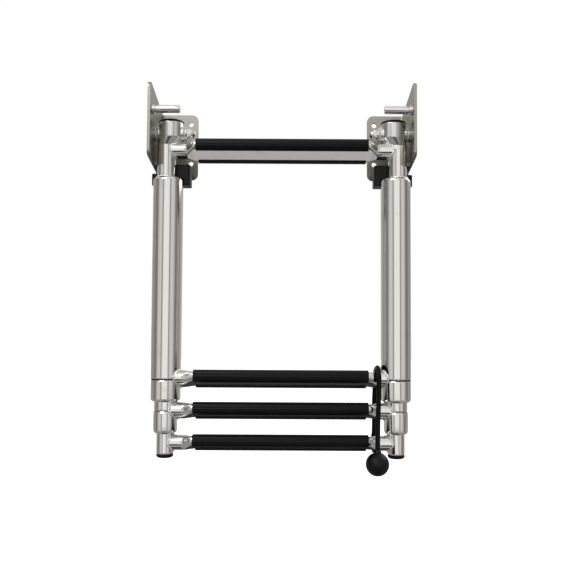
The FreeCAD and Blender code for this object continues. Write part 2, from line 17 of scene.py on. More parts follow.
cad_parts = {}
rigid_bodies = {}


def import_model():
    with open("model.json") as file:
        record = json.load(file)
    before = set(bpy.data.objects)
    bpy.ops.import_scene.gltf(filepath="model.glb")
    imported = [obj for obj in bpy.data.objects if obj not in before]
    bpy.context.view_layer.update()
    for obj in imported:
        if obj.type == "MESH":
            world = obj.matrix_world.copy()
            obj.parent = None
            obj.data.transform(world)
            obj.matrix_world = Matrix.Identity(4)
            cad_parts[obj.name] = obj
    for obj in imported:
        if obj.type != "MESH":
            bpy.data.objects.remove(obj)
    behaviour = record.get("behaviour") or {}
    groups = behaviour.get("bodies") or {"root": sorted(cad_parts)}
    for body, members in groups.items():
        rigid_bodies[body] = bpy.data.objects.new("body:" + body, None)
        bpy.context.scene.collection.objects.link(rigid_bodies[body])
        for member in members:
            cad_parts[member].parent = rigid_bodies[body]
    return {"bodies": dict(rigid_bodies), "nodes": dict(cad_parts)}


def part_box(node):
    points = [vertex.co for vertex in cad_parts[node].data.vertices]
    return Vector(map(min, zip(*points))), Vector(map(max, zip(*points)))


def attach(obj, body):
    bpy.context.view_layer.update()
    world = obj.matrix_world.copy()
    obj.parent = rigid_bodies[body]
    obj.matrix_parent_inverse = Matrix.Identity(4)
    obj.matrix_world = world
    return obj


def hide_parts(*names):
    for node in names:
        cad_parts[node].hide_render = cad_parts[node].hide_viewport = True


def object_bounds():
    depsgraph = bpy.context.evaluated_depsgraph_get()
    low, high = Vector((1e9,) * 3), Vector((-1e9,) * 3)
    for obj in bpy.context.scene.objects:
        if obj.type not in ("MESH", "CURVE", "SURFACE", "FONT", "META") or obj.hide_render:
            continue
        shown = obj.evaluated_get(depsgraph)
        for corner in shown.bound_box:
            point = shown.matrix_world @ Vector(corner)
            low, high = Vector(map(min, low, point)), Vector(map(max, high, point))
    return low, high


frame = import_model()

ours = set(frame["nodes"].values()) | set(frame["bodies"].values())
for leftover in set(bpy.data.objects) - ours:
    bpy.data.objects.remove(leftover)
cad_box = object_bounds()

# %% [markdown]
# ## Places
#
# Lengths below are in millimetres, the unit of the workshop drawing, and are turned into
# metres when a mesh is made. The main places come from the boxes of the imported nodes, so
# a piece always lands where the model holds it.

# %% Read the main places from the frame
MM = 0.001


def node_box(node):
    """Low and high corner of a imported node, in millimetres."""
    low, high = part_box(node)
    return low / MM, high / MM


def node_middle(node):
    low, high = node_box(node)
    return (low + high) / 2


def node_radius(node):
    low, high = node_box(node)
    return (high.x - low.x) / 2


POST_X = node_middle("outer_tube_right").x
POST_Y = node_middle("outer_tube_right").y
NECK_X = node_middle("neck_tube_right").x
HINGE_Z = node_middle("nut_washers").z
SEAM_1_Z = node_box("outer_collar_right")[1].z
SEAM_2_Z = node_box("middle_collar_right")[1].z
print("post axis", round(POST_X, 2), round(POST_Y, 2), "hinge height", round(HINGE_Z, 2))

# %% [markdown]
# ## Camera, floor and light
#
# Polished tube has hardly any colour of its own: it shows the room. So the room matters
# more than the steel. A round world of soft grey shades stands for a studio with a broad
# window of light in front, thin dark frames beside it and greyer walls further round. Low
# down, a narrow dark-edged table runs fore and aft and shades the undersides. The camera
# itself sees plain white, as on a paper sweep.

# %% Place the camera


def new_object(name, data):
    """An object that holds some data, in the scene."""
    made_object = bpy.data.objects.new(name, data)
    bpy.context.scene.collection.objects.link(made_object)
    return made_object


CAMERA_WIDE = math.radians(46.6)
CAMERA_PLACE = Vector((0.0084, -0.904, -0.228))
CAMERA_PITCH = math.radians(92.6)
CAMERA_ROLL = math.radians(0.3)
camera_data = bpy.data.cameras.new("camera")
camera_data.sensor_width = 36.0
camera_data.angle = CAMERA_WIDE
camera = new_object("camera", camera_data)
bpy.context.scene.camera = camera
camera.location = CAMERA_PLACE
turn = Matrix.Rotation(CAMERA_PITCH, 4, "X") @ Matrix.Rotation(CAMERA_ROLL, 4, "Z")
camera.rotation_euler = turn.to_euler()
bpy.context.scene.view_settings.view_transform = "Standard"
print("camera", tuple(round(x, 3) for x in camera.location))

# %% Small helpers for node trees


def link(tree, start, end):
    tree.links.new(start, end)


def feed(tree, value, socket):
    """Link an output to an input, or set the input to a plain value."""
    if isinstance(value, bpy.types.NodeSocket):
        link(tree, value, socket)
    else:
        socket.default_value = value


def math_node(tree, operation, first, second=None, third=None):
    """A Math node fed by sockets or plain numbers; gives its output socket."""
    node = tree.nodes.new("ShaderNodeMath")
    node.operation = operation
    for socket, value in zip(node.inputs, (first, second, third)):
        if value is not None:
            feed(tree, value, socket)
    return node.outputs[0]


def ramp_node(tree, factor, stops):
    """A colour ramp from (place, grey or colour) stops; gives its colour socket."""
    node = tree.nodes.new("ShaderNodeValToRGB")
    while len(node.color_ramp.elements) < len(stops):
        node.color_ramp.elements.new(0.5)
    for element, (place, shade) in zip(node.color_ramp.elements, stops):
        element.position = place
        element.color = (*shade, 1) if isinstance(shade, tuple) else (shade, shade, shade, 1)
    link(tree, factor, node.inputs[0])
    return node.outputs[0]


def mix_node(tree, factor, first, second):
    """A colour mix; gives its result socket."""
    node = tree.nodes.new("ShaderNodeMix")
    node.data_type = "RGBA"
    feed(tree, factor, node.inputs[0])
    for socket, colour in ((node.inputs[6], first), (node.inputs[7], second)):
        feed(tree, (*colour, 1) if isinstance(colour, tuple) else colour, socket)
    return node.outputs[2]


# %% Paint the studio round the ladder
# Each stop is an angle from the camera's side, in degrees, and how bright the studio is there.
STUDIO_ROUND = [
    (0, 1.0), (20, 0.95), (25, 0.30), (30, 0.34), (36, 0.72), (56, 0.68),
    (72, 0.24), (88, 0.20), (102, 0.38), (118, 0.28), (136, 0.50), (180, 0.55),
]
# Heights and widths below are parts of a unit ray's length. The ceiling fades in from its edge.
STUDIO_ABOVE = 0.80
CEILING_EDGE = 0.45
CEILING_BLEND = 0.1
CEILING_SLOPE = 3.0
# Stops from level to straight down: the dark edge of the table, then its paler top.
STUDIO_BELOW = [
    (0.30, 0.10), (0.36, 0.03), (0.60, 0.04), (0.69, 0.40), (0.80, 0.58), (0.86, 0.25), (0.93, 0.05),
]
FLOOR_EDGE = 0.26
FLOOR_SLOPE = 10.0
# To either side of the table, the low part of the studio is a plain grey.
TABLE_HALF = 0.22
TABLE_SLOPE = 8.0
STUDIO_LOW = 0.34


def fade(tree, value, edge, slope):
    """0 up to the edge, then rising at the slope to 1."""
    rise = math_node(tree, "MULTIPLY", math_node(tree, "SUBTRACT", value, edge), slope)
    return math_node(tree, "MINIMUM", math_node(tree, "MAXIMUM", rise, 0.0), 1.0)


def paint_studio():
    """A world whose shade depends on the way a ray leaves; the camera's own rays see white."""
    world = bpy.data.worlds.new("studio")
    bpy.context.scene.world = world
    world.use_nodes = True
    tree = world.node_tree
    tree.nodes.clear()
    way = tree.nodes.new("ShaderNodeTexCoord")
    split = tree.nodes.new("ShaderNodeSeparateXYZ")
    link(tree, way.outputs["Generated"], split.inputs[0])
    towards_camera = math_node(tree, "MULTIPLY", split.outputs["Y"], -1.0)
    angle = math_node(tree, "ARCTAN2", split.outputs["X"], towards_camera)
    share = math_node(tree, "DIVIDE", math_node(tree, "ABSOLUTE", angle), math.pi)
    sides = ramp_node(tree, share, [(degrees / 180, shade) for degrees, shade in STUDIO_ROUND])
    over = math_node(tree, "SUBTRACT", split.outputs["Z"], CEILING_EDGE)
    over = math_node(tree, "SMOOTH_MAX", over, 0.0, CEILING_BLEND)
    up = math_node(tree, "MINIMUM", math_node(tree, "MULTIPLY", over, CEILING_SLOPE), 1.0)
    drop = math_node(tree, "MULTIPLY", split.outputs["Z"], -1.0)
    beside = fade(tree, math_node(tree, "ABSOLUTE", split.outputs["X"]), TABLE_HALF, TABLE_SLOPE)
    below = mix_node(tree, beside, ramp_node(tree, drop, STUDIO_BELOW), (STUDIO_LOW,) * 3)
    room = mix_node(tree, up, sides, (STUDIO_ABOVE,) * 3)
    room = mix_node(tree, fade(tree, drop, FLOOR_EDGE, FLOOR_SLOPE), room, below)
    rays = tree.nodes.new("ShaderNodeLightPath")
    seen = mix_node(tree, rays.outputs["Is Camera Ray"], room, (1.0, 1.0, 1.0))
    back = tree.nodes.new("ShaderNodeBackground")
    link(tree, seen, back.inputs["Color"])
    end = tree.nodes.new("ShaderNodeOutputWorld")
    link(tree, back.outputs[0], end.inputs["Surface"])


paint_studio()
print("shades round the studio:", len(STUDIO_ROUND))

# %% Lay the floor and hang two soft lamps
FLOOR_DROP = 0.22
FLOOR_RADIUS = 6.0
FLOOR_GLOW = 0.62
LAMP_AIM = Vector((0, -0.05, -0.2))


def lay_floor():
    """A pale floor that the camera sees; the studio's low shades are what the steel shows."""
    mesh = bpy.data.meshes.new("floor")
    work = bmesh.new()
    bmesh.ops.create_circle(work, cap_ends=True, segments=96, radius=FLOOR_RADIUS)
    work.to_mesh(mesh)
    work.free()
    floor = new_object("floor", mesh)
    floor.location.z = cad_box[0].z - FLOOR_DROP
    floor.visible_glossy = False
    floor.visible_diffuse = False
    paper = bpy.data.materials.new("pale_paper")
    paper.use_nodes = True
    skin = paper.node_tree.nodes["Principled BSDF"]
    skin.inputs["Base Color"].default_value = (0.9, 0.9, 0.9, 1)
    skin.inputs["Roughness"].default_value = 0.9
    skin.inputs["Emission Color"].default_value = (1, 1, 1, 1)
    skin.inputs["Emission Strength"].default_value = FLOOR_GLOW
    mesh.materials.append(paper)


def hang_lamp(name, place, size, power):
    """A soft lamp turned towards the middle of the ladder."""
    lamp_data = bpy.data.lights.new(name, "AREA")
    lamp_data.shape = "RECTANGLE"
    lamp_data.size, lamp_data.size_y = size
    lamp_data.energy = power
    lamp = new_object(name, lamp_data)
    lamp.location = place
    lamp.rotation_euler = (LAMP_AIM - Vector(place)).to_track_quat("-Z", "Y").to_euler()


lay_floor()
hang_lamp("key_lamp", (-0.9, -1.6, 1.3), (1.2, 0.8), 14)
hang_lamp("fill_lamp", (1.6, 0.9, 0.9), (1.0, 1.0), 8)
print("lamps:", [lamp.name for lamp in bpy.data.lights])

# %% [markdown]
# ## Mesh helpers
#
# Most pieces are turned on a lathe or pushed along a line, so their meshes are rows of
# rings joined by faces. A ring can be round, hexagonal or flat oval. Small arcs at the
# corners matter most: a real edge is never dead sharp, and the arc is what catches light.

# %% Join rings into a skin


def loft(rings, closed=False):
    """Points and faces through rings of equal count; a ring of one point is a pole."""
    count = max(len(ring) for ring in rings)
    points, rows = [], []
    for ring in rings:
        first = len(points)
        points.extend(Vector(point) for point in ring)
        rows.append([first] * count if len(ring) == 1 else list(range(first, first + count)))
    following = rows[1:] + rows[:1] if closed else rows[1:]
    faces = []
    for low, high in zip(rows, following):
        for i in range(count):
            j = (i + 1) % count
            face = list(dict.fromkeys((low[i], low[j], high[j], high[i])))
            if len(face) > 2:
                faces.append(face)
    return points, faces


def joined(*shapes):
    """Several shapes as one."""
    points, faces = [], []
    for more_points, more_faces in shapes:
        base = len(points)
        points.extend(more_points)
        faces.extend([base + i for i in face] for face in more_faces)
    return points, faces


def flipped(points):
    """The mirror image of some points across the ladder's middle plane."""
    return [Vector((-p.x, p.y, p.z)) for p in points]


def mirrored(shape):
    """The left-hand copy of a right-hand shape, with its faces still outwards."""
    points, faces = shape
    return flipped(points), [face[::-1] for face in faces]


def placed(shape, base, direction=(0, 0, 1)):
    """Turn a shape so that its Z points along the direction, and move it to base."""
    turn = Vector(direction).to_track_quat("Z", "Y").to_matrix()
    return [Vector(base) + turn @ p for p in shape[0]], shape[1]


# %% Turn a profile on the lathe
ARC_STEPS = 5
SIDES = 96


def rounded_profile(corners, closed, arc_steps=ARC_STEPS):
    """Profile points from (radius, height, corner radius) corners."""
    points = []
    count = len(corners)
    for i, (radius, height, fillet) in enumerate(corners):
        here = Vector((radius, height))
        if fillet == 0 or (not closed and i in (0, count - 1)):
            points.append(here)
            continue
        back = (Vector(corners[i - 1][:2]) - here).normalized()
        ahead = (Vector(corners[(i + 1) % count][:2]) - here).normalized()
        half_turn = (math.pi - back.angle(ahead)) / 2
        centre = here + (back + ahead).normalized() * fillet / math.cos(half_turn)
        ray = here + back * fillet * math.tan(half_turn) - centre
        last = here + ahead * fillet * math.tan(half_turn) - centre
        way = 1 if ray.x * last.y - ray.y * last.x > 0 else -1
        for k in range(arc_steps + 1):
            points.append(centre + Matrix.Rotation(way * 2 * half_turn * k / arc_steps, 2) @ ray)
    return points


def round_ring(radius, height, sides=SIDES):
    """A level circle of points; a radius of nothing gives a pole."""
    if radius < 1e-6:
        return [(0, 0, height)]
    steps = [2 * math.pi * i / sides for i in range(sides)]
    return [(radius * math.cos(a), radius * math.sin(a), height) for a in steps]


def turned(corners, closed=False, sides=SIDES, arc_steps=ARC_STEPS):
    """Solid of revolution; closed joins the profile's end to its start, as on a tube."""
    profile = rounded_profile(corners, closed, arc_steps)
    return loft([round_ring(p.x, p.y, sides) for p in profile], closed)


# %% Make a finished piece from a shape
SHARP_ANGLE = math.radians(38)
DOUBLES = 1e-7
PLANE_AREA = 2e-5
PLANE_SQUARE = 0.9999
PLANE_SLANT = 0.01
made = []


def is_plane(face):
    """A wide face of a plate, square to X or Y or slanting, but not a narrow strip of the bend."""
    way = face.normal
    square = max(abs(way.x), abs(way.y)) > PLANE_SQUARE
    return face.area > PLANE_AREA and (abs(way.z) > PLANE_SLANT or square)


def finish_mesh(mesh, material, flats=False):
    """Faces out, smooth shading with true edges, one material; flats keeps plane faces plane."""
    work = bmesh.new()
    work.from_mesh(mesh)
    bmesh.ops.remove_doubles(work, verts=work.verts, dist=DOUBLES)
    bmesh.ops.recalc_face_normals(work, faces=work.faces)
    work.to_mesh(mesh)
    work.free()
    mesh.polygons.foreach_set("use_smooth", [True] * len(mesh.polygons))
    mesh.set_sharp_from_angle(angle=SHARP_ANGLE)
    if flats:
        mesh.polygons.foreach_set("use_smooth", [not is_plane(face) for face in mesh.polygons])
    mesh.materials.clear()
    mesh.materials.append(material)


def add_piece(mesh, name, body, nodes=()):
    """Put a mesh into the scene as a piece that rides on a body."""
    piece = new_object(name, mesh)
    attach(piece, body)
    if nodes:
        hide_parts(*nodes)
    made.append(piece)
    return piece


def mesh_of(shape, name):
    """A mesh in metres from a shape in millimetres."""
    mesh = bpy.data.meshes.new(name)
    mesh.from_pydata([point * MM for point in shape[0]], [], shape[1])
    return mesh


def make_piece(name, shape, body, material, nodes=()):
    """A shape as a finished piece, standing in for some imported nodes."""
    mesh = mesh_of(shape, name)
    finish_mesh(mesh, material)
    return add_piece(mesh, name, body, nodes)


def make_pair(node, shape, body, material):
    """A right-hand piece and its mirror image, for the two nodes of that name."""
    for side, hand in (("right", shape), ("left", mirrored(shape))):
        make_piece(f"{node}_{side}_finished", hand, body, material, [f"{node}_{side}"])


# %% [markdown]
# ## Marks that several finishes share
#
# Four effects turn up on more than one material, so each is a node group made once:
# polishing lines that run along a tube, handling marks and dried water, wear where an
# edge stands proud, and the fine grain of moulded rubber. All of them work on Object
# coordinates, so they keep their scale and move with the piece.

# %% Build the shared groups
# How many scratches, waves, dried spots, worn breaks and tone changes fit in a metre.
SCRATCH_SCALE = 1400.0
WAVE_SCALE = 85.0
SPOT_SCALE = 420.0
WEAR_SCALE = 260.0
TONE_SCALE = 70.0
SPOT_RADIUS = 0.16
SPOT_WEIGHT = 0.35
SMEAR_SLOPE = 4.0
WEAR_SLOPE = 14.0


def new_group(name, inputs, outputs):
    """An empty shader group with its named sockets."""
    group = bpy.data.node_groups.new(name, "ShaderNodeTree")
    for label, kind, value in inputs:
        socket = group.interface.new_socket(label, in_out="INPUT", socket_type=kind)
        socket.default_value = value
    for label in outputs:
        group.interface.new_socket(label, in_out="OUTPUT", socket_type="NodeSocketFloat")
    return group, group.nodes.new("NodeGroupInput").outputs, group.nodes.new("NodeGroupOutput").inputs


def noise_on(tree, vector, scale, detail, roughness=0.55):
    """A noise texture on a vector; gives its value socket."""
    noise = tree.nodes.new("ShaderNodeTexNoise")
    link(tree, vector, noise.inputs["Vector"])
    feed(tree, scale, noise.inputs["Scale"])
    noise.inputs["Detail"].default_value = detail
    noise.inputs["Roughness"].default_value = roughness
    return noise.outputs[0]


def object_place(tree):
    return tree.nodes.new("ShaderNodeTexCoord").outputs["Object"]


def clamped(tree, value):
    node = tree.nodes.new("ShaderNodeClamp")
    link(tree, value, node.inputs[0])
    return node.outputs[0]


def build_polishing_lines():
    """Fine scratches and slow waves, drawn out along the way the belt ran."""
    tree, given, result = new_group(
        "polishing_lines",
        [("Along", "NodeSocketVector", (1, 1, 1))],
        ["Lines", "Waves"],
    )
    stretch = tree.nodes.new("ShaderNodeVectorMath")
    stretch.operation = "MULTIPLY"
    link(tree, object_place(tree), stretch.inputs[0])
    link(tree, given["Along"], stretch.inputs[1])
    link(tree, noise_on(tree, stretch.outputs[0], SCRATCH_SCALE, 3.0, 0.7), result["Lines"])
    link(tree, noise_on(tree, stretch.outputs[0], WAVE_SCALE, 1.0), result["Waves"])
    return tree


def build_handling_marks():
    """Smudges with small dried spots inside them."""
    tree, given, result = new_group(
        "handling_marks",
        [("Size", "NodeSocketFloat", 30.0), ("Cover", "NodeSocketFloat", 0.5)],
        ["Mask"],
    )
    place = object_place(tree)
    patches = noise_on(tree, place, given["Size"], 4.0)
    spots = tree.nodes.new("ShaderNodeTexVoronoi")
    spots.inputs["Scale"].default_value = SPOT_SCALE
    link(tree, place, spots.inputs["Vector"])
    inside = math_node(tree, "LESS_THAN", spots.outputs["Distance"], SPOT_RADIUS)
    dots = math_node(tree, "MULTIPLY", inside, SPOT_WEIGHT)
    above = math_node(tree, "SUBTRACT", patches, math_node(tree, "SUBTRACT", 1.0, given["Cover"]))
    smear = math_node(tree, "MULTIPLY", above, SMEAR_SLOPE)
    both = math_node(tree, "ADD", smear, math_node(tree, "MULTIPLY", dots, patches))
    link(tree, clamped(tree, both), result["Mask"])
    return tree


def build_edge_wear():
    """Bright where the surface bends sharply outwards, broken up by noise."""
    tree, given, result = new_group(
        "edge_wear",
        [("Reach", "NodeSocketFloat", 0.52)],
        ["Mask"],
    )
    bend = tree.nodes.new("ShaderNodeNewGeometry").outputs["Pointiness"]
    breakup = noise_on(tree, object_place(tree), WEAR_SCALE, 3.0)
    raised = math_node(tree, "SUBTRACT", bend, given["Reach"])
    worn = math_node(tree, "MULTIPLY", math_node(tree, "MULTIPLY", raised, WEAR_SLOPE), breakup)
    link(tree, clamped(tree, worn), result["Mask"])
    return tree


def build_moulded_grain():
    """Fine pebbled skin from a mould, and slow changes of tone."""
    tree, given, result = new_group(
        "moulded_grain",
        [("Grain", "NodeSocketFloat", 2200.0)],
        ["Height", "Tone"],
    )
    place = object_place(tree)
    link(tree, noise_on(tree, place, given["Grain"], 2.0), result["Height"])
    link(tree, noise_on(tree, place, TONE_SCALE, 4.0), result["Tone"])
    return tree


polishing_lines = build_polishing_lines()
handling_marks = build_handling_marks()
edge_wear = build_edge_wear()
moulded_grain = build_moulded_grain()
print("shared groups:", [g.name for g in bpy.data.node_groups if g.type == "SHADER"])

# %% [markdown]
# ## Steel
#
# The posts and steps are polished to a mirror, the casting is a little softer, and the
# bracket plates keep a satin grain from the belt. One recipe serves them all: full metal,
# a warm grey tint, roughness that rises in the scratches and smudges, and a faint bump
# whose long waves bend the reflections into streaks, as on drawn tube.

# %% Write the steel recipe
SMUDGE_SIZE = 34.0
SMUDGE_COVER = 0.42
SMUDGE_ROUGH = 0.10
EDGE_REACH = 0.53
EDGE_GLEAM = 1.12


def use_group(tree, group, **values):
    """A group placed in a material with its own values; gives its output sockets."""
    node = tree.nodes.new("ShaderNodeGroup")
    node.node_tree = group
    for label, value in values.items():
        node.inputs[label].default_value = value
    return node.outputs


def new_material(name, metal, specular=0.5):
    material = bpy.data.materials.new(name)
    material.use_nodes = True
    skin = material.node_tree.nodes["Principled BSDF"]
    skin.inputs["Metallic"].default_value = metal
    skin.inputs["Specular IOR Level"].default_value = specular
    return material, material.node_tree, skin


def bumps(tree, skin, height, distance):
    """Bump from a height; the distance is what a height of 1 stands for, in metres."""
    node = tree.nodes.new("ShaderNodeBump")
    node.inputs["Distance"].default_value = distance
    node.inputs["Strength"].default_value = 1.0
    link(tree, height, node.inputs["Height"])
    link(tree, node.outputs[0], skin.inputs["Normal"])


def steel(name, tint, dull, smooth, rough, along, wave=0.00002, line=0.0000012, worn=True):
    """Stainless steel with marks along one way; wave and line are heights in metres."""
    material, tree, skin = new_material(name, 1.0)
    lines = use_group(tree, polishing_lines, Along=along)
    marks = use_group(tree, handling_marks, Size=SMUDGE_SIZE, Cover=SMUDGE_COVER)
    toned = mix_node(tree, marks["Mask"], tint, dull)
    if worn:
        wear = use_group(tree, edge_wear, Reach=EDGE_REACH)
        bright = tuple(min(1.0, channel * EDGE_GLEAM) for channel in tint)
        toned = mix_node(tree, wear["Mask"], toned, bright)
    link(tree, toned, skin.inputs["Base Color"])
    scratch = math_node(tree, "MULTIPLY", lines["Lines"], rough - smooth)
    smear = math_node(tree, "MULTIPLY", marks["Mask"], SMUDGE_ROUGH)
    rough_now = math_node(tree, "ADD", math_node(tree, "ADD", scratch, smear), smooth)
    link(tree, rough_now, skin.inputs["Roughness"])
    relief = math_node(tree, "MULTIPLY", lines["Lines"], line)
    relief = math_node(tree, "ADD", relief, math_node(tree, "MULTIPLY", lines["Waves"], wave))
    bumps(tree, skin, relief, 1.0)
    return material


# A small number draws the marks out along that axis.
UP = (1.0, 1.0, 0.012)
ACROSS = (0.012, 1.0, 1.0)
PARTLY_UP = (1.0, 1.0, 0.3)
EVENLY = (1.0, 1.0, 1.0)
WARM_TINT = (0.78, 0.765, 0.73)
WARM_DULL = (0.66, 0.65, 0.62)
post_steel = steel("mirror_steel_post", WARM_TINT, WARM_DULL, 0.05, 0.16, UP)
step_steel = steel("mirror_steel_step", WARM_TINT, WARM_DULL, 0.07, 0.20, ACROSS)
rod_steel = steel("mirror_steel_rod", WARM_TINT, WARM_DULL, 0.06, 0.18, ACROSS)
cast_steel = steel(
    "cast_steel_knuckle", (0.70, 0.69, 0.66), (0.58, 0.57, 0.54), 0.14, 0.28, PARTLY_UP, wave=0.00003,
)
plate_steel = steel(
    "satin_steel_plate", (0.37, 0.355, 0.31), (0.30, 0.29, 0.26), 0.24, 0.40, UP,
    wave=0.00001, line=0.000003, worn=False,
)
fastener_steel = steel(
    "bright_steel_fastener", (0.66, 0.65, 0.62), (0.52, 0.51, 0.49), 0.10, 0.22, EVENLY, wave=0.00001,
)
weld_steel = steel("weld_steel_bead", (0.84, 0.82, 0.77), (0.62, 0.58, 0.50), 0.10, 0.26, EVENLY)
print("steels:", sum("steel" in material.name for material in bpy.data.materials))

# %% [markdown]
# ## Rubber and nylon
#
# The pads are soft rubber with a dry, slightly dusty skin. The strap is smoother, the ball
# and the caps are satin plastic, and the bushes inside the posts are natural nylon. Black
# parts need very dark colours and a little tone change, or they look like holes.

# %% Write the moulded recipe
DUST_SIZE = 55.0
DUST_COVER = 0.45
DUST_WEIGHT = 0.35
DEEP_SHADE = 0.55


def moulded(name, tint, pale, smooth, rough, grain, depth, specular):
    """Moulded rubber or plastic with a fine skin, tone changes and pale worn edges."""
    material, tree, skin = new_material(name, 0.0, specular)
    skin_marks = use_group(tree, moulded_grain, Grain=grain)
    dust = use_group(tree, handling_marks, Size=DUST_SIZE, Cover=DUST_COVER)
    wear = use_group(tree, edge_wear, Reach=EDGE_REACH)
    deep = tuple(channel * DEEP_SHADE for channel in tint)
    toned = mix_node(tree, skin_marks["Tone"], deep, tint)
    dusty = mix_node(tree, math_node(tree, "MULTIPLY", dust["Mask"], DUST_WEIGHT), toned, pale)
    link(tree, mix_node(tree, wear["Mask"], dusty, pale), skin.inputs["Base Color"])
    swing = math_node(tree, "MULTIPLY", skin_marks["Tone"], rough - smooth)
    link(tree, math_node(tree, "ADD", swing, smooth), skin.inputs["Roughness"])
    bumps(tree, skin, skin_marks["Height"], depth)
    return material


pad_rubber = moulded(
    "ribbed_pad_rubber", (0.0040, 0.0046, 0.0056), (0.009, 0.0095, 0.011), 0.30, 0.48, 2600.0, 0.00003, 0.16,
)
strap_rubber = moulded(
    "strap_cord_rubber", (0.0025, 0.0025, 0.003), (0.006, 0.006, 0.007), 0.36, 0.52, 3200.0, 0.00003, 0.12,
)
ball_plastic = moulded(
    "ball_satin_plastic", (0.0045, 0.0052, 0.0062), (0.010, 0.011, 0.013), 0.36, 0.50, 3000.0, 0.00002, 0.22,
)
black_nylon = moulded(
    "black_moulded_nylon", (0.0045, 0.005, 0.0055), (0.012, 0.0125, 0.014), 0.34, 0.52, 2400.0, 0.00004, 0.2,
)
white_nylon = moulded(
    "natural_nylon_bush", (0.74, 0.72, 0.66), (0.80, 0.79, 0.74), 0.34, 0.50, 1800.0, 0.00002, 0.5,
)
print("finishes:", [material.name for material in bpy.data.materials])

# %% [markdown]
# ## The retaining strap
#
# A round rubber cord hangs over the right stub of the second step. Its front end carries
# a ball and its back end an eyelet that buttons over the ball when the ladder is stowed.
# The cord is one smooth curve through listed control points, first down the front,
# so it bends as rubber does. Its points are measured from the middle of the stub.

# %% Bend the strap
STRAP_D = 6.0
BALL_MIDDLE = node_middle("strap_ball")
BALL_OFFSET = Vector((-4.2, -35.4, -98.4))
STRAP_ANCHOR = BALL_MIDDLE - BALL_OFFSET
STRAP_POINTS = [
    (-3.6, -32.4, -85.2),
    (-2.6, -26.4, -58.0),
    (-1.0, -21.8, -30.0),
    (0.0, -19.8, -6.0),
    (0.0, -19.6, 7.0),
    (0.0, -9.6, 17.6),
    (0.0, 13.6, 10.9),
    (0.0, 19.6, 3.8),
    (0.0, 20.4, -10.0),
    (-0.8, 23.0, -34.0),
    (-0.2, 24.6, -60.0),
    (-1.0, 25.4, -80.0),
]
strap_route = [(STRAP_ANCHOR + Vector(point)) * MM for point in STRAP_POINTS]


def bend_strap():
    curve = bpy.data.curves.new("retaining_strap_cord", "CURVE")
    curve.dimensions = "3D"
    curve.resolution_u = 12
    curve.bevel_depth = STRAP_D / 2 * MM
    curve.bevel_resolution = 6
    curve.use_fill_caps = True
    spline = curve.splines.new("NURBS")
    spline.points.add(len(strap_route) - 1)
    for point, place in zip(spline.points, strap_route):
        point.co = (*place, 1)
    spline.order_u = 3
    spline.use_endpoint_u = True
    spline.use_smooth = True
    curve.materials.append(strap_rubber)
    return add_piece(curve, "retaining_strap_cord", "outer_section", ["retaining_strap"])


strap = bend_strap()
print("strap control points:", len(STRAP_POINTS))

# %% Mould the ball with its neck and parting line
BALL_R = 14.0
NECK_R = 4.4
NECK_REACH = 16.4
NECK_FLARE = 1.2
BALL_STEPS = 40
PARTING_RISE = 0.14


def ball_shape():
    """A ball with a short neck towards the cord and a thin raised parting line round it."""
    join_angle = math.asin((NECK_R + NECK_FLARE) / BALL_R)
    raised = 1 + PARTING_RISE / BALL_R
    rings = []
    for i in range(BALL_STEPS + 1):
        polar = math.pi - (math.pi - join_angle) * i / BALL_STEPS
        ring = round_ring(BALL_R * math.sin(polar), BALL_R * math.cos(polar))
        if len(ring) > 1:
            # Two points of every ring lie on the plane where the mould's halves met.
            for j in (0, SIDES // 2):
                x, y, z = ring[j]
                ring[j] = (x * raised, y, z * raised)
        rings.append(ring)
    neck = [
        (NECK_R + 0.3, BALL_R * math.cos(join_angle) + 0.6), (NECK_R, NECK_REACH - 0.7),
        (NECK_R - 0.5, NECK_REACH), (STRAP_D / 2 - 0.3, NECK_REACH + 0.1), (0, NECK_REACH + 0.1),
    ]
    rings.extend(round_ring(radius, height) for radius, height in neck)
    return loft(rings)


to_cord = Vector(STRAP_POINTS[1]) - Vector(STRAP_POINTS[0])
ball = make_piece(
    "strap_ball_finished", placed(ball_shape(), BALL_MIDDLE, to_cord),
    "outer_section", ball_plastic, ["strap_ball"],
)

EYELET_RING_R = 7.0
EYELET_CORD_R = 2.5
EYELET_DROP = 7.0
EYELET_SWELL = 0.28
EYELET_AROUND = 64
EYELET_SIDES = 20


def eyelet_shape():
    """A ring that stands square to X and swells at the top, where it grows out of the cord."""
    rings = []
    for i in range(EYELET_AROUND):
        a = 2 * math.pi * i / EYELET_AROUND
        swell = 1 + EYELET_SWELL * max(0.0, math.sin(a)) ** 8
        middle = Vector((0, math.cos(a), math.sin(a))) * EYELET_RING_R
        outward = middle.normalized()
        rings.append([
            middle + outward * EYELET_CORD_R * swell * math.cos(b)
            + Vector((EYELET_CORD_R * swell * math.sin(b), 0, 0))
            for b in (2 * math.pi * j / EYELET_SIDES for j in range(EYELET_SIDES))
        ])
    return loft(rings, closed=True)


def flare_shape():
    """The short sleeve where the cord widens into the eyelet."""
    base = STRAP_D / 2
    return turned([
        (0, -1.5, 0), (base * 1.15, -1.5, 0.5), (base + 0.35, 5.0, 2.0), (base, 8.0, 0), (0, 8.0, 0),
    ], sides=48)


strap_end = STRAP_ANCHOR + Vector(STRAP_POINTS[-1])
eyelet_middle = strap_end - Vector((0, 0, EYELET_DROP))
eyelet = make_piece(
    "strap_eyelet_finished",
    joined(placed(eyelet_shape(), eyelet_middle), placed(flare_shape(), strap_end)),
    "outer_section", strap_rubber, ["strap_eyelet"],
)

# %% [markdown]
# ## Posts
#
# Each post is three tubes that slide into each other, with a collar at the foot of the two
# larger ones. The outer tube's top is spun in to a rounded shoulder round the slimmer neck.
# They are lathe work: a profile with its wall, turned about the post's axis.

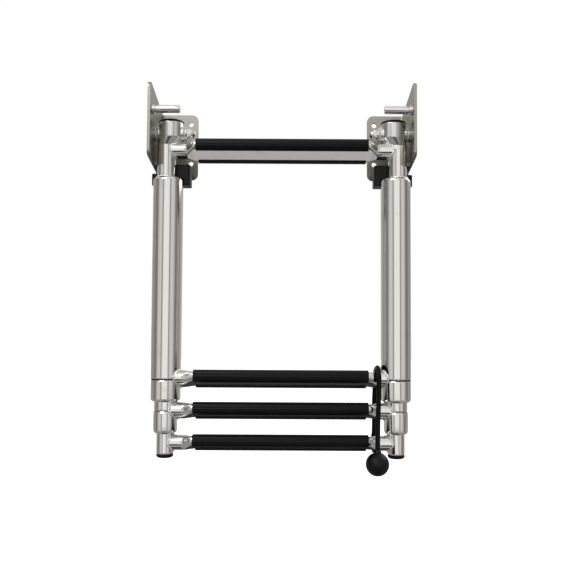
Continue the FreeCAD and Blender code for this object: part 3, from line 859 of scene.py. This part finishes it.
# %% Turn the tubes
WALL = 1.2
NECK_WALL = 1.5
SHOULDER_R = 5.0
SHOULDER_STEPS = 10
MOUTH_R = 8.0
SEAM_IN = 0.95
SEAM_HIGH = 2.0
SEAM_ROUND = 1.2
CUT_EDGE = 0.25


def on_post(corners, closed=True, x=POST_X, arc_steps=ARC_STEPS):
    """A profile turned about an upright axis, by default the right post's."""
    return placed(turned(corners, closed, arc_steps=arc_steps), (x, POST_Y, 0))


def node_tube(node, wall, x=POST_X):
    """A tube with softened cut edges, its foot drawn in a little to meet the next piece."""
    low, high = node_box(node)
    outer_r = node_radius(node)
    bore_r = outer_r - wall
    return on_post([
        (outer_r - SEAM_IN, low.z, 0), (outer_r, low.z + SEAM_HIGH, SEAM_ROUND),
        (outer_r, high.z, CUT_EDGE), (bore_r, high.z, CUT_EDGE), (bore_r, low.z, 0),
    ], x=x)


def shouldered_tube():
    """The outer tube: straight, then rounded in to meet the neck."""
    low, high = node_box("outer_tube_right")
    outer_r = node_radius("outer_tube_right")
    bore_r = outer_r - WALL
    return on_post([
        (outer_r - SEAM_IN, low.z, 0), (outer_r, low.z + SEAM_HIGH, SEAM_ROUND),
        (outer_r, high.z, SHOULDER_R), (MOUTH_R, high.z, 0), (MOUTH_R, high.z - WALL, 0),
        (bore_r, high.z - WALL, SHOULDER_R - WALL), (bore_r, low.z, 0),
    ], arc_steps=SHOULDER_STEPS)


def make_post_pair(node, shape, body):
    make_pair(node, shape, body, post_steel)


make_post_pair("outer_tube", shouldered_tube(), "outer_section")
make_post_pair("neck_tube", node_tube("neck_tube_right", NECK_WALL, NECK_X), "outer_section")
make_post_pair("middle_tube", node_tube("middle_tube_right", WALL), "middle_section")
make_post_pair("inner_tube", node_tube("inner_tube_right", WALL), "inner_section")
print("outer tube radius", round(node_radius("outer_tube_right"), 2), "shoulder", SHOULDER_R)

# %% Turn the collars
COLLAR_EDGE_R = 4.0
COLLAR_LIP = 2.5
HOLE_EDGE = 0.3
RUNNING = 0.55
outer_r = node_radius("outer_tube_right")
middle_r = node_radius("middle_tube_right")
inner_r = node_radius("inner_tube_right")


def collar(node, bore_r, inside_r):
    """A collar with a rounded lower edge and a lip, round the tube that runs inside it."""
    low, high = node_box(node)
    skin_r = node_radius(node)
    hole_r = inside_r + RUNNING
    return on_post([
        (hole_r, low.z, HOLE_EDGE), (skin_r, low.z, COLLAR_EDGE_R),
        (skin_r, high.z - SEAM_HIGH, SEAM_ROUND), (skin_r - SEAM_IN, high.z, 0), (bore_r, high.z, 0),
        (bore_r, low.z + COLLAR_LIP, 0), (hole_r, low.z + COLLAR_LIP, HOLE_EDGE),
    ])


make_post_pair("outer_collar", collar("outer_collar_right", outer_r - WALL, middle_r), "outer_section")
make_post_pair("middle_collar", collar("middle_collar_right", middle_r - WALL, inner_r), "middle_section")
print("tube radii", [round(radius, 2) for radius in (outer_r, middle_r, inner_r)])

# %% Paint shade into the grooves above the collars
SEAM_SHADE_SUNK = 0.55
SEAM_SHADE_BAND = 0.9


def seam_shade_ring(tube_r, seam_z):
    """A dark ring in the groove between tube and collar: painted shade for the shadow in the gap."""
    face_r = tube_r - SEAM_SHADE_SUNK
    root_r = tube_r - SEAM_IN
    low_z, high_z = seam_z - SEAM_SHADE_BAND, seam_z + SEAM_SHADE_BAND
    return on_post([(face_r, low_z, 0), (face_r, high_z, 0), (root_r, high_z, 0), (root_r, low_z, 0)])


for body, tube_r, seam_z in (("outer_section", outer_r, SEAM_1_Z), ("middle_section", middle_r, SEAM_2_Z)):
    ring = seam_shade_ring(tube_r, seam_z)
    # Each dark ring is painted shade: black rubber laid in the groove where the real joint only lies in
    # shadow.
    make_piece(f"{body}_seams", joined(ring, mirrored(ring)), body, strap_rubber)
    print(f"{body} seam at height", round(seam_z, 2))

# %% Mould the black foot caps
FOOT_ROUND = 2.9
PLUG_R = inner_r - WALL


def foot_cap():
    """A rounded foot with a plug that fits up inside the inner tube."""
    low, high = node_box("foot_cap_right")
    shelf_z = node_box("inner_tube_right")[0].z
    return on_post([
        (0, low.z, 0), (inner_r, low.z, FOOT_ROUND), (inner_r, shelf_z, 0.2),
        (PLUG_R, shelf_z, 0), (PLUG_R, high.z, 1.0), (0, high.z, 0),
    ], closed=False)


make_pair("foot_cap", foot_cap(), "inner_section", black_nylon)
print("pieces so far:", len(made))

# %% [markdown]
# ## Hinge heads
#
# The head of each post is a casting: an upright drum, a cross boss for the bolt, and a
# taper down into the neck. A casting has no sharp inside corners, so a merged copy of the
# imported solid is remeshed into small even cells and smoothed, which rounds every joint.

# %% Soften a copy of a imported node


def merged_copy(node, name, flat_angle):
    """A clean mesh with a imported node's shape; the node itself stays as it is."""
    work = bmesh.new()
    work.from_mesh(frame["nodes"][node].data)
    bmesh.ops.remove_doubles(work, verts=work.verts, dist=1e-6)
    bmesh.ops.dissolve_limit(
        work, angle_limit=math.radians(flat_angle), verts=work.verts, edges=work.edges
    )
    work.verts.index_update()
    points = [v.co.copy() for v in work.verts]
    faces = [[v.index for v in f.verts] for f in work.faces]
    work.free()
    mesh = bpy.data.meshes.new(name)
    mesh.from_pydata(points, [], faces)
    return mesh


def baked(mesh, set_up):
    """The mesh after the modifiers that set_up adds to an object holding it."""
    holder = new_object("holder", mesh)
    set_up(holder)
    graph = bpy.context.evaluated_depsgraph_get()
    result = bpy.data.meshes.new_from_object(holder.evaluated_get(graph), depsgraph=graph)
    bpy.data.objects.remove(holder)
    return result


def soften(voxel, passes):
    """Modifiers that give a solid the rounded inside corners of a casting."""
    def set_up(holder):
        remesh = holder.modifiers.new("cells", "REMESH")
        remesh.mode = "VOXEL"
        remesh.voxel_size = voxel * MM
        smooth = holder.modifiers.new("smooth", "SMOOTH")
        smooth.factor = 0.5
        smooth.iterations = passes
    return set_up


def reworked_pair(node, set_up, body, material, flat_angle=1.0, flats=False):
    """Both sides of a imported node, reworked by the modifiers of set_up."""
    for side in ("right", "left"):
        name = f"{node}_{side}_finished"
        mesh = baked(merged_copy(f"{node}_{side}", name, flat_angle), set_up)
        finish_mesh(mesh, material, flats)
        add_piece(mesh, name, body, [f"{node}_{side}"])
        print(name, len(mesh.polygons), "faces")


reworked_pair("hinge_knuckle", soften(0.5, 8), "outer_section", cast_steel)
reworked_pair("post_rest", soften(0.6, 5), "brackets", black_nylon)

# %% Mould the caps on the heads
CAP_ROUND = 0.7


def knuckle_cap():
    """A low black cap, rounded over most of its height."""
    low, high = node_box("knuckle_cap_right")
    radius = node_radius("knuckle_cap_right")
    edge = (high.z - low.z) * CAP_ROUND
    return on_post([
        (0, low.z, 0), (radius, low.z, 0.2), (radius, high.z, edge), (0, high.z, 0),
    ], closed=False, x=node_middle("knuckle_cap_right").x)


make_pair("knuckle_cap", knuckle_cap(), "outer_section", black_nylon)
print("pieces so far:", len(made))

# %% [markdown]
# ## Brackets
#
# Each bracket is one bent plate with a cheek for the hinge and a flange for the transom.
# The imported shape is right, but its edges are knife sharp. A narrow bevel on a merged
# copy gives them the deburred edge that shows as a thin bright line.

# %% Break the edges of the plates
DEBURR = 0.4
DEBURR_ANGLE = math.radians(40)
PLATE_FLAT_ANGLE = 0.5


def deburr(holder):
    bevel = holder.modifiers.new("deburred", "BEVEL")
    bevel.width = DEBURR * MM
    bevel.segments = 2
    bevel.limit_method = "ANGLE"
    bevel.angle_limit = DEBURR_ANGLE


reworked_pair("bracket", deburr, "brackets", plate_steel, PLATE_FLAT_ANGLE, flats=True)

# %% [markdown]
# ## Hinge hardware
#
# A domed bolt, two washers, flanged bushes and a closed nut make each hinge. The nut and
# the sockets of the bolt and screws are hexagons, so their rings use a six-sided reach:
# the distance from the axis to the flat at each angle.

# %% Turn bolts, washers and rods


def hex_ring(flats, height, cap=None):
    """A ring round a hexagon; cap limits its reach, which rounds off the corners."""
    ring = []
    for i in range(SIDES):
        a = 2 * math.pi * i / SIDES
        off = (a + math.pi / 6) % (math.pi / 3) - math.pi / 6
        reach = flats / 2 / math.cos(off)
        if cap is not None:
            reach = min(reach, cap)
        ring.append((reach * math.cos(a), reach * math.sin(a), height))
    return ring


HINGE = (POST_Y, HINGE_Z)
BOLT_R = 4.0
BOLT_HEAD_R = 8.0
BOLT_HEAD_H = 3.0
SOCKET_FLATS = 5.0
SOCKET_DEPTH = 1.8
WASHER_EDGE = 0.3
WASHER_THICK = {"cheek_washers": 1.75, "nut_washers": 1.6}


def pivot_bolt():
    """From the bottom of the hexagon socket, over the domed head and down the shank."""
    low, high = node_box("pivot_bolt_right")
    face = BOLT_HEAD_H
    length = high.x - low.x - face
    rings = [
        round_ring(0, face - SOCKET_DEPTH), hex_ring(SOCKET_FLATS, face - SOCKET_DEPTH),
        hex_ring(SOCKET_FLATS, face - 0.15), hex_ring(SOCKET_FLATS + 0.4, face),
    ]
    dome = rounded_profile([(3.2, face, 0), (BOLT_HEAD_R, face, 2.6), (BOLT_HEAD_R, 0, 0)], False)
    rings.extend(round_ring(p.x, p.y) for p in dome)
    shank = rounded_profile([(BOLT_R, 0, 0), (BOLT_R, -length, 0.8), (0, -length, 0)], False)
    rings.extend(round_ring(p.x, p.y) for p in shank)
    return placed(loft(rings), (high.x - face, *HINGE), (1, 0, 0))


def washer(node):
    """The right-hand washer of a node that holds both."""
    low, high = node_box(node)
    rim_r = (high.z - low.z) / 2
    thick = WASHER_THICK[node]
    return placed(turned([
        (BOLT_R, -thick, 0.15), (rim_r, -thick, WASHER_EDGE), (rim_r, 0, WASHER_EDGE), (BOLT_R, 0, 0.15),
    ], closed=True), (high.x, *HINGE), (1, 0, 0))


def make_fasteners(node, shape):
    """One piece that holds the same fastener on both sides."""
    both = joined(shape, mirrored(shape))
    make_piece(f"{node}_finished", both, "brackets", fastener_steel, [node])


make_pair("pivot_bolt", pivot_bolt(), "brackets", fastener_steel)
for node in WASHER_THICK:
    make_fasteners(node, washer(node))
print("hinge axis at Y, Z", tuple(round(place, 2) for place in HINGE))

# %% Shape the closed nuts
NUT_FLATS = 13.0
NUT_H = 5.5
NUT_DOME_R = 5.6
DOME_STEPS = 12


def cap_nut():
    """A hexagon with rounded corners, closed by a half ball."""
    seat_x = node_box("cap_nuts")[1].x
    corner = NUT_FLATS / math.sqrt(3)
    rings = [
        round_ring(0, 0),
        hex_ring(NUT_FLATS, 0, cap=corner - 0.9),
        hex_ring(NUT_FLATS, 0.45, cap=corner - 0.1),
        hex_ring(NUT_FLATS, NUT_H - 0.9, cap=corner - 0.1),
        hex_ring(NUT_FLATS, NUT_H - 0.35, cap=corner - 0.55),
        hex_ring(NUT_FLATS, NUT_H, cap=NUT_FLATS / 2 - 0.1),
        round_ring(NUT_DOME_R + 0.15, NUT_H),
    ]
    for i in range(DOME_STEPS + 1):
        polar = math.pi / 2 * (1 - i / DOME_STEPS)
        rings.append(round_ring(NUT_DOME_R * math.sin(polar), NUT_H + NUT_DOME_R * math.cos(polar)))
    return placed(loft(rings), (seat_x, *HINGE), (-1, 0, 0))


make_fasteners("cap_nuts", cap_nut())
print("nut", NUT_FLATS, "across flats and", NUT_H + NUT_DOME_R, "long")

# %% Turn the stop rods
ROD_R = 5.0
ROD_FOOT_R = 6.0
ROD_GROOVE_R = 4.0
ROD_FOOT = 3.5
ROD_GROOVE = 1.5
ROD_LENGTH = 35.0
SPIGOT_R = 3.0
PLATE = 3.5


def stop_rod():
    """A rod with a spigot through the plate, a round foot against it and a groove beside that."""
    low, high = node_box("stop_rod_right")
    seat_x = low.x + ROD_LENGTH
    groove_end = ROD_FOOT + ROD_GROOVE
    return placed(turned([
        (0, -PLATE, 0), (SPIGOT_R, -PLATE, 0), (SPIGOT_R, 0, 0), (ROD_FOOT_R, 0, 0.3),
        (ROD_FOOT_R, ROD_FOOT, 0.8), (ROD_GROOVE_R, ROD_FOOT, 0.4), (ROD_GROOVE_R, groove_end, 0.4),
        (ROD_R, groove_end, 0.5), (ROD_R, ROD_LENGTH, 1.0), (0, ROD_LENGTH, 0),
    ]), (seat_x, (low.y + high.y) / 2, (low.z + high.z) / 2), (-1, 0, 0))


make_pair("stop_rod", stop_rod(), "brackets", rod_steel)
print("rod length", ROD_LENGTH)

# %% Cut the screws that hold the rests
SCREW_R = 3.0
SCREW_HEAD_R = 5.25
SCREW_LENGTH = 18.0
SCREW_IN = 25.0
SCREW_SOCKET_FLATS = 3.6
SCREW_SOCKET_DEPTH = 1.6
SCREW_X = node_box("bracket_right")[0].x + SCREW_IN


def rest_screw():
    """A countersunk screw, from the bottom of its hexagon socket to its tip."""
    low, high = node_box("rest_screws")
    sink = SCREW_HEAD_R - SCREW_R
    rings = [
        round_ring(0, -SCREW_SOCKET_DEPTH), hex_ring(SCREW_SOCKET_FLATS, -SCREW_SOCKET_DEPTH),
        hex_ring(SCREW_SOCKET_FLATS, -0.1), hex_ring(SCREW_SOCKET_FLATS + 0.3, 0),
    ]
    body = rounded_profile([
        (2.6, 0, 0), (SCREW_HEAD_R, 0, 0.15), (SCREW_R, -sink, 0), (SCREW_R, -SCREW_LENGTH, 0.8),
        (0, -SCREW_LENGTH, 0),
    ], False)
    rings.extend(round_ring(p.x, p.y) for p in body)
    return placed(loft(rings), (SCREW_X, high.y, (high.z + low.z) / 2), (0, 1, 0))


make_fasteners("rest_screws", rest_screw())
print("pieces so far:", len(made))

# %% [markdown]
# ## Steps
#
# Each step is one tube pressed to a flat oval, left rounder at its ends and cut to a
# fishmouth that fits the post. The section changes by a rule, so the mesh is a row of oval
# rings; the last ring takes its place from the post's own radius at each point.

# %% Section and ends of a step
# The middle of a step is flat; its ends, from the pad to the post, are deeper stubs.
STEP_DEPTH = 41.0
STEP_HEIGHT = 12.0
STEP_WALL = 1.5
STUB_DEPTH = 31.0
STUB_HEIGHT = 19.0
STUB_INSET = 1.75
STUB_TAPER = 14.5
TAPER_STEPS = 10
MID_STATION_X = 55.0
BEAD_LIFT = 0.5
PAD_GAP = 0.5
TILT = Matrix.Rotation(math.radians(-18.0), 3, "X")
ARC_POINTS = 18
FLAT_POINTS = 8


def oval(depth, height):
    """Y and Z round a flat oval, starting under the back edge."""
    half, r = (depth - height) / 2, height / 2
    back = [(half + r * math.cos(a), r * math.sin(a)) for a in
            (-math.pi / 2 + math.pi * k / ARC_POINTS for k in range(ARC_POINTS))]
    top = [(half - 2 * half * k / FLAT_POINTS, r) for k in range(FLAT_POINTS)]
    front = [(-y, -z) for y, z in back]
    bottom = [(-y, -z) for y, z in top]
    return back + top + front + bottom


def blended(first, second, share):
    """Points part of the way from one section to another."""
    return [(a + (c - a) * share, b + (d - b) * share) for (a, b), (c, d) in zip(first, second)]


def laid(x, y, z, step_z):
    """A point of a step, tilted and moved to its height."""
    return Vector((0, POST_Y, step_z)) + TILT @ Vector((x, y, z))


pad_half = node_box("step_1_pad")[1].x
STUB_START_X = pad_half + PAD_GAP
TAPER_END_X = STUB_START_X + STUB_TAPER


def step_shape(step_z, host_od, reach_at):
    """A hollow step tube; reach_at gives where the post's skin is for a Y and a height."""
    end_depth = min(STUB_DEPTH, host_od - STUB_INSET)
    stations = [(x, 0.0) for x in (0.0, MID_STATION_X, STUB_START_X)]
    for k in range(1, TAPER_STEPS + 1):
        share = k / TAPER_STEPS
        stations.append((STUB_START_X + STUB_TAPER * share, share * share * (3 - 2 * share)))

    def skin(inset):
        flat = oval(STEP_DEPTH - 2 * inset, STEP_HEIGHT - 2 * inset)
        round_end = oval(end_depth - 2 * inset, STUB_HEIGHT - 2 * inset)
        rings = [
            [laid(x, y, z, step_z) for y, z in blended(flat, round_end, share)]
            for x, share in stations
        ]
        for share in (0.35, 0.7, 1.0):
            ring = []
            for y, z in round_end:
                low = laid(TAPER_END_X, y, z, step_z)
                end_x = reach_at(low.y - POST_Y, low.z, 0.0)
                ring.append(Vector((low.x + (end_x - low.x) * share, low.y, low.z)))
            rings.append(ring)
        return [flipped(ring) for ring in rings[:0:-1]] + rings

    outer, inner = skin(0.0), skin(STEP_WALL)
    bead_line = [Vector((reach_at(p.y - POST_Y, p.z, BEAD_LIFT), p.y, p.z)) for p in outer[-1]]
    return loft(outer + inner[::-1], closed=True), bead_line


def post_skin(radius_at, axis_at):
    """Where a post's skin is, as a function of Y from its axis, the height and a lift off it."""
    def reach(y, z, lift):
        radius = radius_at(z) + lift
        return axis_at(z) - math.sqrt(max(radius * radius - y * y, 0.0))
    return reach


# %% Press and weld in the four steps
KNUCKLE_LOW_Z = node_box("neck_tube_right")[1].z
KNUCKLE_TAPER = 10.0
KNUCKLE_R = 16.0
KNUCKLE_INSET = 5.5
neck_r = node_radius("neck_tube_right")


def into_knuckle(z):
    """How far a height is up the taper from the neck to the knuckle, from 0 to 1."""
    return min(max((z - KNUCKLE_LOW_Z) / KNUCKLE_TAPER, 0.0), 1.0)


def two_part(seam_z, upper, lower):
    """The post's radius where a collar begins below a seam."""
    above, below = node_radius(upper), node_radius(lower)
    return lambda z: above if z > seam_z else below


# For each step: its body, the post's diameter, and the post's radius and axis at a height.
step_plan = {
    1: ("outer_section", 2 * neck_r, lambda z: neck_r + (KNUCKLE_R - neck_r) * into_knuckle(z),
        lambda z: NECK_X - KNUCKLE_INSET * into_knuckle(z)),
    2: ("outer_section", 2 * outer_r,
        two_part(SEAM_1_Z, "outer_tube_right", "outer_collar_right"), lambda z: POST_X),
    3: ("middle_section", 2 * middle_r,
        two_part(SEAM_2_Z, "middle_tube_right", "middle_collar_right"), lambda z: POST_X),
    4: ("inner_section", 2 * inner_r, lambda z: inner_r, lambda z: POST_X),
}
weld_lines = {"outer_section": [], "middle_section": [], "inner_section": []}
step_heights = {}
for number, (body, host_od, radius_at, axis_at) in step_plan.items():
    node = f"step_{number}_tube"
    low, high = node_box(node)
    step_heights[number] = (low.z + high.z) / 2
    shape, end_line = step_shape(step_heights[number], host_od, post_skin(radius_at, axis_at))
    make_piece(f"{node}_finished", shape, body, step_steel, [node])
    weld_lines[body].append(end_line)
    weld_lines[body].append(flipped(end_line))
print("step heights", {n: round(z, 2) for n, z in step_heights.items()})

# %% [markdown]
# ## Weld beads
#
# Every joint between a step and a post shows a bright rippled bead. It follows the edge of
# the fishmouth and its thickness rises and falls with each drop of filler, so a Geometry
# Nodes tree sweeps a small circle along the edge and swells it by a sine of the length.

# %% Build the bead tree


def new_tree(name, sizes):
    """A Geometry Nodes tree with named inputs for its sizes and its material."""
    tree = bpy.data.node_groups.new(name, "GeometryNodeTree")
    tree.interface.new_socket("Geometry", in_out="INPUT", socket_type="NodeSocketGeometry")
    tree.interface.new_socket("Geometry", in_out="OUTPUT", socket_type="NodeSocketGeometry")
    for label in sizes:
        kind = "NodeSocketInt" if label == "Count" else "NodeSocketFloat"
        tree.interface.new_socket(label, in_out="INPUT", socket_type=kind)
    tree.interface.new_socket("Material", in_out="INPUT", socket_type="NodeSocketMaterial")
    given = tree.nodes.new("NodeGroupInput").outputs
    return tree, given, tree.nodes.new("NodeGroupOutput").inputs


def add_node(tree, kind, *feeds, **settings):
    """A node with its settings and its inputs linked by name."""
    node = tree.nodes.new(kind)
    for key, value in settings.items():
        setattr(node, key, value)
    for label, source in feeds:
        feed(tree, source, node.inputs[label])
    return node.outputs


def close_tree(tree, given, result, geometry):
    """Every tree ends the same way: real geometry, smooth, in its material."""
    real = add_node(tree, "GeometryNodeRealizeInstances", ("Geometry", geometry))
    smooth = add_node(tree, "GeometryNodeSetShadeSmooth", ("Geometry", real[0]))
    painted = add_node(
        tree, "GeometryNodeSetMaterial", ("Geometry", smooth[0]), ("Material", given["Material"]),
    )
    link(tree, painted[0], result["Geometry"])


BEAD_CUTS = 0.0004
BEAD_SIDES = 10


def build_bead_tree():
    """A circle swept along the base edges, swollen by a sine of the length; sizes in metres."""
    tree, given, result = new_tree("weld_bead", ["Bead radius", "Ripple pitch", "Ripple depth"])
    edge = add_node(tree, "GeometryNodeMeshToCurve", ("Mesh", given["Geometry"]))
    even = add_node(
        tree, "GeometryNodeResampleCurve", ("Curve", edge[0]), ("Length", BEAD_CUTS), mode="LENGTH",
    )
    reached = add_node(tree, "GeometryNodeSplineParameter")["Length"]
    turns = math_node(tree, "DIVIDE", reached, given["Ripple pitch"])
    phase = math_node(tree, "MULTIPLY", turns, 2 * math.pi)
    ripple = math_node(tree, "MULTIPLY", math_node(tree, "SINE", phase), given["Ripple depth"])
    swollen = math_node(tree, "MULTIPLY", math_node(tree, "ADD", ripple, 1.0), given["Bead radius"])
    ring = add_node(
        tree, "GeometryNodeCurvePrimitiveCircle", ("Resolution", BEAD_SIDES), ("Radius", 1.0),
    )
    swept = add_node(
        tree, "GeometryNodeCurveToMesh", ("Curve", even[0]), ("Profile Curve", ring["Curve"]),
        ("Scale", swollen), ("Fill Caps", True),
    )
    close_tree(tree, given, result, swept[0])
    return tree


def grown(mesh, tree, values):
    """The mesh that a tree grows on a base mesh, with the tree's inputs set by identifier."""
    def set_up(holder):
        modifier = holder.modifiers.new("grow", "NODES")
        modifier.node_group = tree
        for socket in tree.interface.items_tree:
            if socket.in_out == "INPUT" and socket.name in values:
                modifier[socket.identifier] = values[socket.name]
    return baked(mesh, set_up)


bead_tree = build_bead_tree()


def line_mesh(lines, name, cyclic=True):
    """Edges along each line of points."""
    points, edges = [], []
    for line in lines:
        first = len(points)
        points.extend(p * MM for p in line)
        edges.extend((first + i, first + i + 1) for i in range(len(line) - 1))
        if cyclic:
            edges.append((first + len(line) - 1, first))
    mesh = bpy.data.meshes.new(name)
    mesh.from_pydata(points, edges, [])
    return mesh


# %% Lay the beads
BEAD = {"Bead radius": 0.00125, "Ripple pitch": 0.0019, "Ripple depth": 0.16}
NECK_BEAD_LIFT = 0.3
NECK_BEAD_OUT = 0.2
NECK_BEAD_POINTS = 72


def neck_line(x):
    """A circle round a neck, where it meets the outer tube's shoulder."""
    z = node_box("outer_tube_right")[1].z + NECK_BEAD_LIFT
    circle = round_ring(neck_r + NECK_BEAD_OUT, 0, NECK_BEAD_POINTS)
    return [Vector((x + p[0], POST_Y + p[1], z)) for p in circle]


for side in (1, -1):
    weld_lines["outer_section"].append(neck_line(side * NECK_X))
for body, lines in weld_lines.items():
    bead_name = f"{body}_welds"
    bead_mesh = grown(line_mesh(lines, bead_name), bead_tree, {**BEAD, "Material": weld_steel})
    finish_mesh(bead_mesh, weld_steel)
    add_piece(bead_mesh, bead_name, body)
    print(bead_name, len(bead_mesh.polygons), "faces")

# %% [markdown]
# ## Step pads
#
# Each pad is a length of rubber extrusion pushed over the step: it wraps the top and both
# edges and turns in underneath. The top has seven raised ribs for grip, and the rounded
# edges have finer grooves. The body is one section pushed along X, and a Geometry Nodes
# tree lays the round ribs side by side over the top.

# %% Extrude the pad bodies
PAD_THICK = 1.9
PAD_LIP = 1.0
PAD_LIP_START = 0.3
PAD_FIT = 0.02
EDGE_RIB_PITCH = 2.9
EDGE_RIB_RISE = 0.30
PAD_END_ROUND = 0.8
PAD_END_STEPS = 4
PAD_ARC = 84
PAD_TOP = 24


def pad_path(depth, height, ribs):
    """Y, Z and the rib height along the open path round a pad's section."""
    half, r = (depth - height) / 2, height / 2
    lip_y = (STEP_DEPTH - STEP_HEIGHT) / 2 - PAD_LIP
    path = [(-lip_y, -r), (-half + PAD_LIP_START, -r)]
    for k in range(PAD_ARC + 1):
        a = math.pi * k / PAD_ARC
        wave = 0.5 - 0.5 * math.cos(2 * math.pi * a * r / EDGE_RIB_PITCH)
        lift = ribs * EDGE_RIB_RISE * wave * min(1.0, 3 * math.sin(a))
        path.append((-half - (r + lift) * math.sin(a), -(r + lift) * math.cos(a)))
    path.extend((-half + 2 * half * k / PAD_TOP, r) for k in range(1, PAD_TOP))
    return path + [(-y, z) for y, z in path[PAD_ARC + 2::-1]]


def pad_shape(step_z):
    """A pad's body with rounded ends; its open section is closed by a strip at each end."""
    inner = pad_path(STEP_DEPTH + 2 * PAD_FIT, STEP_HEIGHT + 2 * PAD_FIT, 0)
    rings = []
    ends = [
        (PAD_END_ROUND * (1 - math.cos(a)), PAD_END_ROUND * (1 - math.sin(a)))
        for a in (math.pi / 2 * k / PAD_END_STEPS for k in range(PAD_END_STEPS + 1))
    ]
    stations = [(-pad_half + back, shy) for back, shy in ends]
    stations += [(pad_half - back, shy) for back, shy in reversed(ends)]
    for x, shy in stations:
        thick = PAD_THICK - shy
        outer = pad_path(STEP_DEPTH + 2 * thick, STEP_HEIGHT + 2 * thick, 1)
        section = outer + inner[::-1]
        rings.append([laid(x, y, z, step_z) for y, z in section])
    points, faces = loft(rings)
    count = len(inner)
    total = 2 * count
    last = (len(rings) - 1) * total
    for i in range(count - 1):
        faces.append([i, i + 1, total - 2 - i, total - 1 - i])
        faces.append([last + i + 1, last + i, last + total - 1 - i, last + total - 2 - i])
    return points, faces


print("pad section points:", 2 * len(pad_path(STEP_DEPTH, STEP_HEIGHT, 0)))

# %% Build the rib tree
RIB_SIDES = 16


def build_rib_tree():
    """Bars along X, set out evenly along the base edge."""
    tree, given, result = new_tree("grip_ribs", ["Rib length", "Rib radius", "Count"])
    across = add_node(tree, "GeometryNodeMeshToCurve", ("Mesh", given["Geometry"]))
    places = add_node(
        tree, "GeometryNodeResampleCurve", ("Curve", across[0]), ("Count", given["Count"]), mode="COUNT",
    )
    half = math_node(tree, "MULTIPLY", given["Rib length"], 0.5)
    back = math_node(tree, "MULTIPLY", given["Rib length"], -0.5)
    start = add_node(tree, "ShaderNodeCombineXYZ", ("X", back))
    end = add_node(tree, "ShaderNodeCombineXYZ", ("X", half))
    line = add_node(tree, "GeometryNodeCurvePrimitiveLine", ("Start", start[0]), ("End", end[0]))
    ring = add_node(
        tree, "GeometryNodeCurvePrimitiveCircle", ("Resolution", RIB_SIDES), ("Radius", given["Rib radius"]),
    )
    bar = add_node(
        tree, "GeometryNodeCurveToMesh", ("Curve", line[0]), ("Profile Curve", ring["Curve"]),
        ("Fill Caps", True),
    )
    ribs = add_node(tree, "GeometryNodeInstanceOnPoints", ("Points", places[0]), ("Instance", bar[0]))
    close_tree(tree, given, result, ribs[0])
    return tree


rib_tree = build_rib_tree()

# %% Lay the grip ribs over the top
RIB_COUNT = 7
RIB_MARGIN = 1.9
RIB_R = 1.1
RIB_RISE = 0.5
RIB_SHY = 0.4


def add_pad(number, body):
    """One pad: its body and its ribs in one mesh, because they are one moulding."""
    step_z = step_heights[number]
    name = f"step_{number}_pad_finished"
    rib_z = STEP_HEIGHT / 2 + PAD_THICK + RIB_RISE - RIB_R
    reach = (STEP_DEPTH - STEP_HEIGHT) / 2 - RIB_MARGIN
    across = [laid(0, -reach, rib_z, step_z), laid(0, reach, rib_z, step_z)]
    values = {
        "Rib length": (2 * pad_half - 2 * RIB_SHY) * MM, "Rib radius": RIB_R * MM,
        "Count": RIB_COUNT, "Material": pad_rubber,
    }
    ribs = grown(line_mesh([across], name, cyclic=False), rib_tree, values)
    body_mesh = mesh_of(pad_shape(step_z), name)
    work = bmesh.new()
    work.from_mesh(body_mesh)
    work.from_mesh(ribs)
    work.to_mesh(body_mesh)
    work.free()
    finish_mesh(body_mesh, pad_rubber)
    return add_piece(body_mesh, name, body, [f"step_{number}_pad"])


for number, (body, *_) in step_plan.items():
    add_pad(number, body)
print("pad faces:", len(made[-1].data.polygons))

# %% [markdown]
# ## Hidden bushes
#
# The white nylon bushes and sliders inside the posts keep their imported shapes: they are
# plain rings, and only an edge shows when the ladder is pulled out. They take the nylon
# finish.

# %% Give the bushes their finish
BUSH_NODES = ["pivot_bushes"] + [
    f"{kind}_{side}" for kind in ("outer_guide_bush", "middle_slider", "middle_guide_bush", "inner_slider")
    for side in ("right", "left")
]
for node in BUSH_NODES:
    bush = frame["nodes"][node]
    bush.data.materials.clear()
    bush.data.materials.append(white_nylon)
print("bushes:", len(BUSH_NODES))

# %% [markdown]
#
# The imported model's box is printed at the end, with the count of faces in all the
# made pieces. The visual model must stay inside the imported model's box.

# %% Print the imported box and finish
print("CAD box", [[round(v, 4) for v in corner] for corner in cad_box])
print("faces in all:", sum(len(piece.data.polygons) for piece in made if piece.type == "MESH"))
